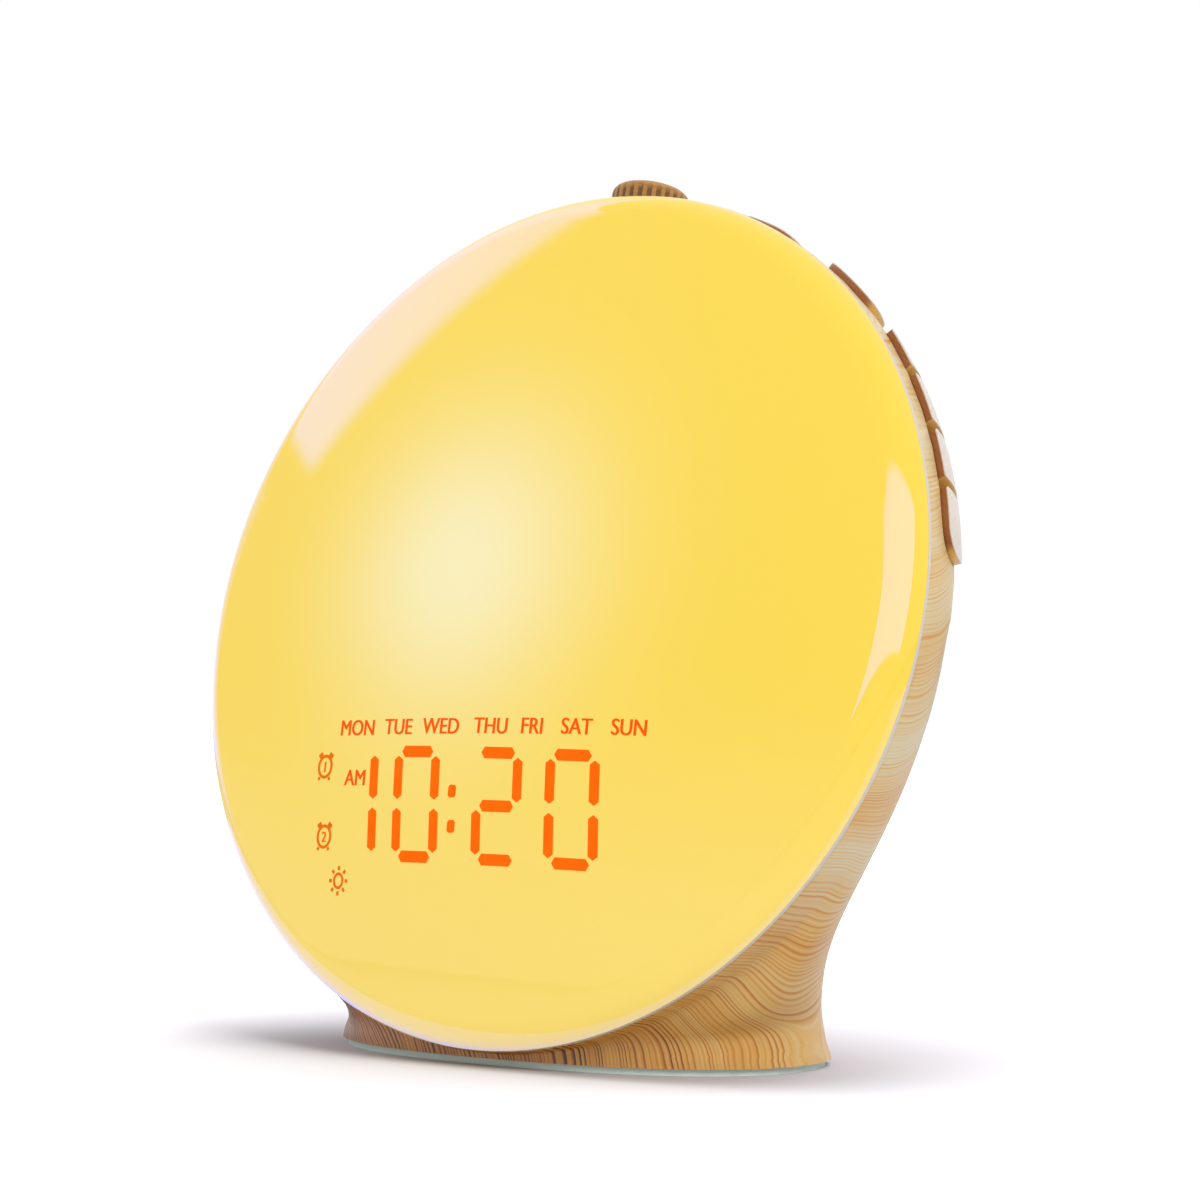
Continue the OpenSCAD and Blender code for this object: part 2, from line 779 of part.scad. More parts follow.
module rear_cover() {
    color("tan")
        difference() {
            union() {
                on_back()
                    rotate_extrude()
                        intersection() {
                            translate([0, cover_middle]) circle(r = cover_dome, $fn = 400);
                            difference() {
                                translate([0, cover_seat]) square([cover_r, through]);
                                intersection() {
                                    translate([0, cover_middle]) circle(r = cover_dome - cover_t, $fn = 400);
                                    translate([0, cover_seat - 1]) square([cover_in - fit, through]);
                                }
                            }
                        }
                intersection() {
                    on_back() cover_cap(cover_in, cover_dome - cover_t / 2, cover_seat);
                    union() {
                        at_speaker()
                            ring_band(speaker_r - 3, speaker_r, cover_seat - 1, cover_seat + through);
                        at_jack() translate([0, 0, cover_seat - 1]) cylinder(r = nose_r + 2.4, h = through);
                        at_usb() translate([0, 0, cover_seat + 10])
                            cube([usb_w + 3, usb_h + 3, 22], center = true);
                    }
                }
            }
            at_speaker() grille_places()
                translate([0, 0, cover_seat + 0.5]) cylinder(r = grille_hole, h = through);
            at_jack() {
                translate([0, 0, cover_seat - 2]) cylinder(r = nose_r + fit, h = through);
                translate([0, 0, cover_seat + 2.6]) cylinder(r = nose_r + 1.4, h = through);
            }
            at_usb() translate([0, 0, cover_seat + 10])
                cube([usb_w + 2 * fit, usb_h + 2 * fit, through], center = true);
            on_back() cover_screw_places() {
                translate([0, 0, cover_seat - 1]) cylinder(r = pilot_r, h = through);
                translate([0, 0, cover_out - head_t + 0.2]) cylinder(r = head_r + 0.2, h = through);
            }
        }
}

module rear_cover_screws() {
    color("dimgray")
        on_back() cover_screw_places() translate([0, 0, cover_out - head_t + 0.2]) screw();
}

// Rim of the basket, seat of the surround in it, and the cone's edge
basket_r = speaker_r - 0.2;
basket_rim_t = 1;
surround_r = speaker_r - 5.1;
cone_r = surround_r - 1.9;
cone_t = 0.5;
cone_deep = 5.2;
cone_cap_r = 5;

module speaker_basket() {
    color("darkslategray")
        at_speaker()
            translate([0, 0, cover_seat])
                difference() {
                    rotate_extrude()
                        polygon([[basket_r, 0], [basket_r, -basket_rim_t], [basket_r - 3, -basket_rim_t],
                            [magnet_r - 1, basket_rim_t - basket_l], [magnet_r - 1, -basket_l],
                            [0, -basket_l], [0, 1 - basket_l], [magnet_r - 2, 1 - basket_l],
                            [magnet_r - 2, 2 - basket_l], [surround_r + 0.02, -basket_rim_t - 0.2],
                            [surround_r + 0.02, 0]]);
                    for (i = [0:3])
                        rotate([0, 0, 45 + 90 * i]) translate([magnet_r + 3.5, 0, -basket_l])
                            cylinder(r = 2.4, h = basket_l - 1.5);
                }
}

module speaker_magnet() {
    color("silver")
        at_speaker() translate([0, 0, cover_seat - basket_l - magnet_t]) cylinder(r = magnet_r, h = magnet_t);
}

module speaker_cone() {
    color("black")
        at_speaker()
            translate([0, 0, cover_seat])
                rotate_extrude()
                    polygon([[0, -cone_deep - 0.4], [cone_cap_r, -cone_deep - 1.4], [cone_r, -0.9 - cone_t],
                        [cone_r, -0.9], [cone_cap_r, -cone_deep - 0.8], [0, 0.2 - cone_deep]]);
}

module speaker_surround() {
    color("dimgray")
        at_speaker()
            translate([0, 0, cover_seat])
                rotate_extrude()
                    polygon([[cone_r + 0.05, -0.9 - cone_t], [cone_r + 0.05, -0.9], [surround_r - 0.9, -0.2],
                        [surround_r, -0.7], [surround_r, -1.1], [surround_r - 0.9, -0.6]]);
}

module power_jack() {
    color("black")
        at_jack()
            difference() {
                union() {
                    translate([0, 0, cover_seat - jack_l / 2]) cube([jack_w, jack_w, jack_l], center = true);
                    translate([0, 0, cover_seat - 1]) cylinder(r = nose_r, h = 3.6);
                }
                translate([0, 0, cover_seat - 9]) cylinder(r = jack_bore / 2, h = through);
            }
}

module power_jack_pin() {
    color("silver")
        at_jack() translate([0, 0, cover_seat - 9]) cylinder(r = jack_pin_d / 2, h = 10);
}

module usb_socket() {
    color("silver")
        at_usb()
            translate([0, 0, cover_seat + 3 - usb_l / 2])
                difference() {
                    cube([usb_w, usb_h, usb_l], center = true);
                    translate([0, 0, 1])
                        cube([usb_w - 2 * usb_shell, usb_h - 2 * usb_shell, usb_l], center = true);
                }
}

module usb_tongue() {
    color("white")
        at_usb()
            translate([-usb_w / 2 + 1, usb_h / 2 - usb_shell - 0.4 - 1.9, cover_seat + 4 - usb_l])
                cube([usb_w - 2, 1.9, usb_l - 3]);
}

// ---------------------------------------------------------------- foot

module base_screw_places() {
    for (side = [-1, 1]) translate([side * base_screw_x, 0, 0]) children();
}

module base_plate() {
    color("gray")
        difference() {
            translate([0, 0, pad_t]) linear_extrude(base_t) polygon(oval(wall + 2 * fit));
            base_screw_places() {
                cylinder(r = pilot_r, h = through);
                translate([0, 0, pad_t - 1]) cylinder(r = head_r + 0.1, h = 1 + head_t);
            }
        }
}

module base_screws() {
    color("silver")
        base_screw_places() translate([0, 0, pad_t + head_t]) mirror([0, 0, 1]) screw();
}

module base_pad() {
    color("honeydew") linear_extrude(pad_t) polygon(oval(pad_in));
}

// ---------------------------------------------------------------- side keys

// The key's flange is a flat strip across the housing's rounded inside, bent round the rim
module flange_strip(top, low, front, back) {
    polygon([[flange_at(front) - top, -front], [flange_at(back) - top, -back],
        [flange_at(back) - low, -back], [flange_at(front) - low, -front]]);
}

module side_key(key) {
    color("burlywood")
        on_face() {
            intersection() {
                rim_patch(key[0], key[1], key_front, key_front + key_w, key[2], key[3]);
                sector(key[0] - 2, key[1] + 2)
                    difference() {
                        translate([core_r, 0]) circle(r = side_r + key_proud);
                        translate([0, -face_r]) square([core_r + 3, 2 * face_r]);
                        flange_strip(key_flange / 2, face_r, -1, key_front + key_w + 8);
                    }
            }
            sector(key[0], key[1])
                flange_strip(0, key_flange, key_front - 0.1, key_front + key_w + key_lip);
            at_rim((key[0] + key[1]) / 2, plunger_top)
                translate([key_mid, 0, 0])
                    cylinder(r = plunger_r + 0.3, h = flange_at(key_mid) - key_flange / 2 - plunger_top);
        }
}

module side_plunger(key) {
    color("white")
        on_face()
            at_rim((key[0] + key[1]) / 2, plunger_end)
                translate([key_mid, 0, 0]) cylinder(r = plunger_r, h = plunger_l);
}

module key_switches() {
    color("dimgray")
        on_face()
            for (key = key_list)
                at_rim((key[0] + key[1]) / 2, switch_r)
                    translate([key_mid, 0, 0])
                        difference() {
                            translate([0, 0, (switch_top - switch_r) / 2])
                                cube([switch_w, switch_w, switch_top - switch_r], center = true);
                            translate([0, 0, 0.5]) cylinder(r = plunger_r + run, h = through);
                        }
}

module key_board(low, high) {
    color("darkgreen")
        on_face()
            sector(low, high) translate([key_board_r, -key_front - key_w - 1])
                square([key_board_t, key_front + key_w + 0.9 - floor_z]);
}

// ---------------------------------------------------------------- top knob

module on_knob_axis() {
    on_face() translate([0, 0, -knob_back]) up_the_face() children();
}

module encoder_board() {
    color("darkgreen")
        on_knob_axis()
            translate([-encoder_w / 2, -encoder_w / 2, rail_r]) cube([encoder_w, encoder_w, board_t]);
}

module encoder_body() {
    color("gray")
        on_knob_axis()
            difference() {
                translate([-encoder_w / 2, -encoder_w / 2, encoder_z])
                    cube([encoder_w, encoder_w, encoder_h]);
                translate([0, 0, rotor_low - 0.05]) cylinder(r = rotor_r + run, h = through);
                translate([0, 0, encoder_z + 0.8]) cylinder(r = shaft_r + run, h = through);
            }
}

module encoder_rotor() {
    color("silver")
        on_knob_axis()
            difference() {
                translate([0, 0, rotor_low]) cylinder(r = rotor_r, h = rotor_top - rotor_low);
                translate([0, 0, rotor_low - 1]) cylinder(r = shaft_r + run, h = through);
            }
}

module encoder_shaft() {
    color("silver")
        on_knob_axis() translate([0, 0, shaft_low]) cylinder(r = shaft_r, h = shaft_top - shaft_low);
}

module top_knob() {
    round_r = 2;
    color("peru")
        on_knob_axis()
            difference() {
                rotate_extrude()
                    polygon(concat([[0, knob_low], [knob_r, knob_low]],
                        [for (a = [0:15:90])
                            [knob_r - round_r + round_r * cos(a), knob_top - round_r + round_r * sin(a)]],
                        [[0, knob_top]]));
                for (i = [0:knob_flutes - 1])
                    rotate([0, 0, 360 * i / knob_flutes]) translate([knob_r + 0.25, 0, knob_low + 5])
                        cylinder(r = 0.6, h = knob_l);
                translate([0, 0, knob_low - 1]) cylinder(r = shaft_r + 0.02, h = shaft_top - knob_low + 1.1);
                translate([0, 0, knob_low - 1])
                    cylinder(r = rotor_r + 0.5, h = rotor_top - knob_low + knob_travel + 1.5);
            }
}

// ---------------------------------------------------------------- what is drawn

housing();
front_frame();
diffuser_dome();
reflector_plate();
reflector_screws();
led_board();
led_packages();
display_board();
display_shroud();
display_segments();
main_board();
main_board_chips();
main_board_screws();
coin_cell_holder();
coin_cell();
rear_cover();
rear_cover_screws();
speaker_basket();
speaker_magnet();
speaker_cone();
speaker_surround();
power_jack();
power_jack_pin();
usb_socket();
usb_tongue();
base_plate();
base_screws();
base_pad();
key_board(board_low, board_high);  // right_key_board
key_board(180 - board_high, 180 - board_low);  // left_key_board
key_switches();
encoder_board();
encoder_body();
encoder_rotor();
encoder_shaft();
top_knob();
for (i = [0:5]) {
    side_key(right_list[i]);
    side_plunger(right_list[i]);
    side_key(left_list[i]);
    side_plunger(left_list[i]);
}
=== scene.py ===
import math
import bmesh
import bpy
from mathutils import Matrix, Vector
from mathutils.bvhtree import BVHTree


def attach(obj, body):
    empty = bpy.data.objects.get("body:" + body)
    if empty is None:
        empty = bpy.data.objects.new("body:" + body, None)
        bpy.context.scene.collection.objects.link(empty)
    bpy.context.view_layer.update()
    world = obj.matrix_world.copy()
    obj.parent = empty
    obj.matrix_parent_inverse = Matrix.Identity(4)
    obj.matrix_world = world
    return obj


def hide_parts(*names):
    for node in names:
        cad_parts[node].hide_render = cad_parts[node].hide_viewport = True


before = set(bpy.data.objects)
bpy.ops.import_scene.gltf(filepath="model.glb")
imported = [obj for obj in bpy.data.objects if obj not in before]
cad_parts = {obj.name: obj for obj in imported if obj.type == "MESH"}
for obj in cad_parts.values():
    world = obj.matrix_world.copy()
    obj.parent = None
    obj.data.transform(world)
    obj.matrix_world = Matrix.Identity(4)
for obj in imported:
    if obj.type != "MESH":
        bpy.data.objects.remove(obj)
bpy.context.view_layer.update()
MM = 0.001

# ---------------------------------------------------------------- camera
# A long lens, slightly below the middle of the clock, turned well to the right of its face. Its
# sensor and focal length are in millimetres.
camera_turn = math.radians(37.64)
camera_rise = math.radians(-0.9)
camera_far = 700 * MM
aim_side, aim_height = 3.75 * MM, 87.75 * MM
to_right = Vector((math.cos(camera_turn), math.sin(camera_turn), 0))
to_camera = Vector((math.sin(camera_turn) * math.cos(camera_rise),
                    -math.cos(camera_turn) * math.cos(camera_rise), math.sin(camera_rise)))
to_top = to_camera.cross(to_right)
camera = bpy.data.objects.new("camera", bpy.data.cameras.new("camera"))
bpy.context.collection.objects.link(camera)
camera.data.lens, camera.data.sensor_width = 108, 36
camera.data.clip_start, camera.data.clip_end = 0.01, 50
camera.matrix_world = Matrix.Translation(
    to_right * aim_side + Vector((0, 0, aim_height)) + to_camera * camera_far
) @ Matrix((to_right, to_top, to_camera)).transposed().to_4x4()
bpy.context.scene.camera = camera

# ---------------------------------------------------------------- table and light
# A sheet of white paper in a white room. Camera and mirror rays see plain white, and the paper keeps
# a soft shadow round the foot. Three softboxes light the clock and two the paper, and strips of
# light that only the polished dome mirrors give it its gloss.


def linear(hex_colour):
    """An sRGB hex colour as the linear numbers that shaders want."""
    parts = [int(hex_colour[i:i + 2], 16) / 255 for i in (1, 3, 5)]
    return tuple(c / 12.92 if c <= 0.04045 else ((c + 0.055) / 1.055) ** 2.4 for c in parts) + (1,)


def add_node(tree, kind, inputs=None, **settings):
    """Adds a node with its settings. Each input, by name or place, gets a value or a link from an
    output. A node given for an output stands for its first one."""
    node = tree.nodes.new(kind)
    for name, value in settings.items():
        setattr(node, name, value)
    for socket, value in (inputs or {}).items():
        if isinstance(value, bpy.types.Node):
            value = value.outputs[0]
        if isinstance(value, bpy.types.NodeSocket):
            tree.links.new(value, node.inputs[socket])
        else:
            node.inputs[socket].default_value = value
    return node


def new_material(name):
    """An empty node material with its output, ready for a shader."""
    material = bpy.data.materials.new(name)
    material.use_nodes = True
    material.node_tree.nodes.clear()
    return material, material.node_tree, material.node_tree.nodes.new("ShaderNodeOutputMaterial")


room = bpy.data.worlds.new("white room")
room.use_nodes = True
tree = room.node_tree
tree.nodes.clear()
room_white, room_light = (1, 1, 1, 1), 0.5
path = add_node(tree, "ShaderNodeLightPath").outputs
eye = add_node(tree, "ShaderNodeMath", {0: path["Is Camera Ray"], 1: path["Is Glossy Ray"]},
               operation="MAXIMUM")
eye = add_node(tree, "ShaderNodeMath", {0: eye, 1: path["Is Transmission Ray"]}, operation="MAXIMUM")
lit = add_node(tree, "ShaderNodeBackground", {"Color": room_white, "Strength": room_light})
seen = add_node(tree, "ShaderNodeBackground", {"Color": room_white, "Strength": 1.0})
both = add_node(tree, "ShaderNodeMixShader", {0: eye, 1: lit, 2: seen})
add_node(tree, "ShaderNodeOutputWorld", {"Surface": both})
bpy.context.scene.world = room
bpy.context.scene.view_settings.view_transform = "Standard"

# white drawing paper: matt, with a shadow at the foot that fades into the room's plain white under a
# painted glow
paper_size = 6
shadow_core, shadow_end = 30 * MM, 220 * MM
paper_look, tree, out = new_material("white paper sweep")
matt = add_node(tree, "ShaderNodeBsdfDiffuse", {"Color": linear("#C6C6CE")})
place = add_node(tree, "ShaderNodeNewGeometry").outputs["Position"]
away = add_node(tree, "ShaderNodeVectorMath", {0: place}, operation="LENGTH").outputs["Value"]
# painted light: a glow that only the camera sees, none near the foot and full far out
lift = add_node(tree, "ShaderNodeMapRange", {"Value": away, "From Min": shadow_core,
                                             "From Max": shadow_end}, interpolation_type="SMOOTHSTEP")
path = add_node(tree, "ShaderNodeLightPath").outputs
painted_glow = add_node(tree, "ShaderNodeMath", {0: lift, 1: path["Is Camera Ray"]}, operation="MULTIPLY")
glow = add_node(tree, "ShaderNodeEmission", {"Strength": painted_glow})
both = add_node(tree, "ShaderNodeAddShader", {0: matt, 1: glow})
tree.links.new(both.outputs[0], out.inputs[0])

bm = bmesh.new()
bmesh.ops.create_grid(bm, x_segments=1, y_segments=1, size=paper_size / 2)
paper_mesh = bpy.data.meshes.new("floor")
bm.to_mesh(paper_mesh)
bm.free()
paper_mesh.materials.append(paper_look)
paper = bpy.data.objects.new("floor", paper_mesh)
bpy.context.collection.objects.link(paper)

dome_middle = Vector((0, -10 * MM, 90 * MM))


def softbox(name, azimuth, elevation, width, height, power, colour="#FFFFFF", far=1.4, spin=0.0,
            tilt=0.0, turn=0.0):
    """A rectangular light on a stand, aimed at the dome. Azimuth 0 is the front. spin turns it like a
    wheel, turn like a door, and tilt leans it up. It lights surfaces, but no gloss shows it."""
    a, e = math.radians(azimuth), math.radians(elevation)
    back = Vector((math.sin(a) * math.cos(e), -math.cos(a) * math.cos(e), math.sin(e)))
    lamp = bpy.data.objects.new(name, bpy.data.lights.new(name, "AREA"))
    bpy.context.collection.objects.link(lamp)
    lamp.data.shape = "RECTANGLE"
    lamp.data.size, lamp.data.size_y = width, height
    lamp.data.energy = power
    lamp.data.color = linear(colour)[:3]
    lamp.visible_camera = lamp.visible_glossy = False
    lamp.location = dome_middle + back * far
    aim = (-back).to_track_quat("-Z", "Y")
    for angle, axis in ((spin, "Z"), (turn, "Y"), (tilt, "X")):
        aim = aim @ Matrix.Rotation(math.radians(angle), 4, axis).to_quaternion()
    lamp.rotation_mode = "QUATERNION"
    lamp.rotation_quaternion = aim
    return lamp


dome_gloss = bpy.data.collections.new("shown in the dome's gloss")
bpy.context.scene.collection.children.link(dome_gloss)


def gloss_strip(name, azimuth, elevation, width, height, brightness, soft=None, **stand):
    """A flagged blue light that nothing but the dome's gloss shows. White paper has a brightness of
    1. soft gives the shares over which it fades at its left, right, lower and upper edge."""
    lamp = softbox(name, azimuth, elevation, width, height, brightness * math.pi * width * height,
                   "#4076FF", **stand)
    lamp.visible_diffuse, lamp.visible_glossy = False, True
    lamp.light_linking.receiver_collection = dome_gloss
    if not soft:
        return
    left, right, lower, upper = soft
    lamp.data.use_nodes = True
    tree = lamp.data.node_tree
    place = add_node(tree, "ShaderNodeNewGeometry").outputs["Parametric"]
    across, up, _ = add_node(tree, "ShaderNodeSeparateXYZ", {"Vector": place}).outputs
    share = 1.0
    for value, edge, full in ((across, 0.0, left), (across, 1.0, 1.0 - right),
                              (up, 0.0, lower), (up, 1.0, 1.0 - upper)):
        if edge != full:
            rise = add_node(tree, "ShaderNodeMapRange", {"Value": value, "From Min": edge,
                                                         "From Max": full},
                            interpolation_type="SMOOTHSTEP")
            share = add_node(tree, "ShaderNodeMath", {0: share, 1: rise}, operation="MULTIPLY")
    emission = next(node for node in tree.nodes if node.type == "EMISSION")
    tree.links.new(share.outputs[0], emission.inputs["Strength"])


# azimuth and elevation in degrees, width and height in metres, and power in watts
softbox("left light", -76, 32, 0.5, 0.9, 3)
softbox("right light", 62, 35, 0.4, 0.5, 9)
softbox("top light", 150, 70, 1.0, 1.0, 8, "#F4F2FF")
# the same, with a brightness for the power, and the shares of the soft edges
gloss_strip("left strip", -102.2, 40.1, 1.33, 0.69, 5.4, (0.8, 0.05, 0.05, 0.03), far=1.27, spin=4.4)
gloss_strip("right strip", 28.3, 31.6, 2.54, 0.85, 8.0, (0.02, 0.0, 0.05, 0.12), far=1.46, spin=1.7,
            turn=27.5)
gloss_strip("side card", -104, 9.5, 1.36, 0.72, 1.3)
gloss_strip("low card", -92, 2.5, 1.9, 0.34, 1.2, (0.0, 0.6, 0.05, 0.3))
gloss_strip("table card", -166, -41.7, 0.9, 0.26, 2.2, far=0.134, tilt=48.3)

paper_only = bpy.data.collections.new("lit by the paper's lights")
bpy.context.scene.collection.children.link(paper_only)
paper_only.objects.link(paper)
for lamp in (softbox("floor light", 70, 85, 0.9, 0.9, 13, "#FFF8EA"),
             softbox("floor fill", -90, 35, 0.6, 0.4, 2.2)):
    lamp.light_linking.receiver_collection = paper_only

# ---------------------------------------------------------------- housing and rear cover
# Moulded ABS under a printed wood film with a satin lacquer, the cover screwed on from behind. The
# print is one log cut lengthwise: growth rings round an axis that runs from front to back, low at
# the left, so that the foot shows steep arcs in front and level, hanging lines along its sides.
log_x, log_z = -100 * MM, -30 * MM
log_stretch = 1.35
sway_size, sway_reach = 71.43 * MM, 22 * MM
ring_spacing, ring_dark, ring_end = 0.85 * MM, 0.35, 0.9
crowd_size, crowd_rings = 9 * MM, 5.0
line_least, line_spread = 0.1, 0.5
deep_lines, deep_share, faint_lines, faint_share = 90 * MM, 1.6, 200 * MM, 0.45
# the tone is darkest near the log's axis, low at the left: the print's dark heart, with painted shade
# for the shaded lower front
heart_and_shade_radius, heart_and_shade_tone, sap_wood, sap_tone = 60 * MM, 0.45, 220 * MM, 0.94
# size along the radius, detail, strength and middle. The fibres are drawn coarser than real ones, so
# that they show.
growth, fibres = (14 * MM, 1.0, 0.4, 0.2), (0.4 * MM, 2.0, 0.34, 0.18)


def wood_colour(tree, colours, shift=(0, 0, 0)):
    """The print: every ring has a soft light part and a thin dark line of its own strength. The
    colours run from the heart streaks to the palest wood. Returns nodes for colour and tone."""
    coords = add_node(tree, "ShaderNodeTexCoord").outputs["Object"]
    log = add_node(tree, "ShaderNodeMapping", {
        "Vector": coords, "Scale": (1, 1, log_stretch),
        "Location": (shift[0] - log_x, shift[1], (shift[2] - log_z) * log_stretch)})
    # the distance from the log's axis, which sways
    sway = add_node(tree, "ShaderNodeTexNoise", {"Vector": log, "Scale": 1 / sway_size, "Detail": 2.0})
    swing = add_node(tree, "ShaderNodeVectorMath", {0: sway.outputs["Color"], 1: (0.5, 0.5, 0.5)},
                     operation="SUBTRACT")
    bent = add_node(tree, "ShaderNodeVectorMath", {0: swing, 1: (sway_reach, 0, sway_reach), 2: log},
                    operation="MULTIPLY_ADD")
    flat = add_node(tree, "ShaderNodeVectorMath", {0: bent, 1: (1, 0, 1)}, operation="MULTIPLY")
    radius = add_node(tree, "ShaderNodeVectorMath", {0: flat}, operation="LENGTH").outputs["Value"]
    # the rings, which crowd and thin out
    rings = add_node(tree, "ShaderNodeMath", {0: radius, 1: ring_spacing}, operation="DIVIDE")
    crowd = add_node(tree, "ShaderNodeTexNoise", {"W": radius, "Scale": 1 / crowd_size, "Detail": 1.0},
                     noise_dimensions="1D")
    count = add_node(tree, "ShaderNodeMath", {0: crowd, 1: crowd_rings, 2: rings},
                     operation="MULTIPLY_ADD")
    within = add_node(tree, "ShaderNodeMath", {0: count}, operation="FRACT")
    number = add_node(tree, "ShaderNodeMath", {0: count}, operation="FLOOR")
    # the dark line that ends each ring, strong in the heart and faint outside
    rise = add_node(tree, "ShaderNodeMapRange", {"Value": within, "From Min": ring_dark,
                                                 "From Max": ring_end},
                    interpolation_type="SMOOTHSTEP")
    fall = add_node(tree, "ShaderNodeMapRange", {"Value": within, "From Min": ring_end, "From Max": 1.0,
                                                 "To Min": 1.0, "To Max": 0.0},
                    interpolation_type="SMOOTHSTEP")
    line = add_node(tree, "ShaderNodeMath", {0: rise, 1: fall}, operation="MULTIPLY")
    chance = add_node(tree, "ShaderNodeTexWhiteNoise", {"W": number}, noise_dimensions="1D")
    strength = add_node(tree, "ShaderNodeMath", {0: chance.outputs["Value"], 1: -line_spread,
                                                 2: -line_least}, operation="MULTIPLY_ADD")
    depth = add_node(tree, "ShaderNodeMapRange", {"Value": radius, "From Min": deep_lines,
                                                  "From Max": faint_lines, "To Min": deep_share,
                                                  "To Max": faint_share},
                     interpolation_type="SMOOTHSTEP")
    depth = add_node(tree, "ShaderNodeMath", {0: depth, 1: strength}, operation="MULTIPLY")
    cut = add_node(tree, "ShaderNodeMath", {0: line, 1: depth}, operation="MULTIPLY")
    # the tone: a dark heart that is partly painted shade, pale sap wood, slow changes of growth and fine
    # fibres
    tone = add_node(tree, "ShaderNodeMapRange", {"Value": radius, "From Min": heart_and_shade_radius,
                                                 "From Max": sap_wood, "To Min": heart_and_shade_tone,
                                                 "To Max": sap_tone},
                    interpolation_type="SMOOTHSTEP")
    tone = add_node(tree, "ShaderNodeMath", {0: tone, 1: cut}, operation="ADD")
    for size, detail, share, middle in (growth, fibres):
        drift = add_node(tree, "ShaderNodeTexNoise", {"W": radius, "Scale": 1 / size,
                                                      "Detail": detail}, noise_dimensions="1D")
        tone = add_node(tree, "ShaderNodeMath", {0: tone, 1: -middle}, operation="ADD")
        tone = add_node(tree, "ShaderNodeMath", {0: drift, 1: share, 2: tone},
                        operation="MULTIPLY_ADD")
    ramp = add_node(tree, "ShaderNodeValToRGB", {"Fac": tone})
    stops = ramp.color_ramp.elements
    stops[0].position, stops[0].color = 0.0, linear(colours[0])
    stops[1].position, stops[1].color = 1.0, linear(colours[-1])
    for n, colour in enumerate(colours[1:-1], 1):
        stops.new(n / (len(colours) - 1)).color = linear(colour)
    return ramp, tone


def lacquer(tree, out, colour, tone):
    """Satin lacquer over a print: a wide soft sheen, with the grain just felt."""
    dents = add_node(tree, "ShaderNodeBump", {"Height": tone, "Strength": 0.08, "Distance": 0.2 * MM})
    skin = add_node(tree, "ShaderNodeBsdfPrincipled", {
        "Base Color": colour, "Roughness": 0.38, "IOR": 1.5, "Coat Weight": 0.15,
        "Coat Roughness": 0.2, "Normal": dents})
    tree.links.new(skin.outputs[0], out.inputs[0])


# wood film: honey-coloured grain, reddish and dense at the foot, where part of the darkness is painted
# shade, pale and wide towards the top
wood, tree, out = new_material("printed wood film on ABS")
grain, tone = wood_colour(tree, ("#48210F", "#8A4A1C", "#C4802C", "#D2A556", "#D2C298"))
lacquer(tree, out, grain, tone)


def dress(node, material):
    """Puts one material on a node that came from the frame."""
    mesh = bpy.data.objects[node].data
    mesh.materials.clear()
    mesh.materials.append(material)


def finish_piece(name, bm, material, body="body", replaces=(), sharp=None):
    """Makes an object of a bmesh, with its normals outward, and tells the frame about it. Given an
    angle in degrees, it is shaded smooth up to that angle."""
    bmesh.ops.recalc_face_normals(bm, faces=bm.faces)
    mesh = bpy.data.meshes.new(name)
    bm.to_mesh(mesh)
    bm.free()
    if sharp:
        mesh.shade_smooth()
        mesh.set_sharp_from_angle(angle=math.radians(sharp))
    mesh.materials.append(material)
    obj = bpy.data.objects.new(name, mesh)
    bpy.context.collection.objects.link(obj)
    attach(obj, body)
    if replaces:
        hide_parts(*replaces)
    return obj


# The moulded skin is smooth where neck and foot flare, so the lower part of the housing is rounded
# off between its ring sections. Only what shows from outside moves; edges and inner faces stay.
smooth_above, smooth_below = 3.6 * MM, 78 * MM
crease = math.radians(45)
cuts, passes, moving = 2, 30, 0.99
same_place = 0.001 * MM
looks, off_wall, facing = 16, 0.02 * MM, 0.05
closed = bmesh.new()
for node in ("housing", "diffuser_dome", "front_frame", "rear_cover", "base_plate", "base_pad"):
    closed.from_mesh(bpy.data.objects[node].data)
walls = BVHTree.FromBMesh(closed)
closed.free()


def shows(vert):
    """True where a level ray leaves the housing without meeting a wall."""
    for turn in (math.tau * i / looks for i in range(looks)):
        way = Vector((math.cos(turn), math.sin(turn), 0))
        start = vert.co + vert.normal * off_wall
        if way.dot(vert.normal) > facing and walls.ray_cast(start, way)[0] is None:
            return True
    return False


bm = bmesh.new()
bm.from_mesh(bpy.data.objects["housing"].data)
bmesh.ops.remove_doubles(bm, verts=bm.verts, dist=same_place)
bm.normal_update()
moves = bm.verts.layers.float.new("moves")
for v in bm.verts:
    if smooth_above < v.co.z < smooth_below and shows(v):
        v[moves] = all(e.calc_face_angle(0) < crease for e in v.link_edges)
for _ in range(cuts):
    bmesh.ops.subdivide_edges(bm, cuts=1, use_grid_fill=True,
                              edges=[e for e in bm.edges if min(v[moves] for v in e.verts) > moving])
skin = [v for v in bm.verts if v[moves] > moving]
for _ in range(passes):
    bmesh.ops.smooth_vert(bm, verts=skin, factor=0.5, use_axis_x=True, use_axis_y=True,
                          use_axis_z=True)
finish_piece("housing_shell", bm, wood, replaces=["housing"], sharp=35)
dress("housing", wood)
dress("rear_cover", wood)

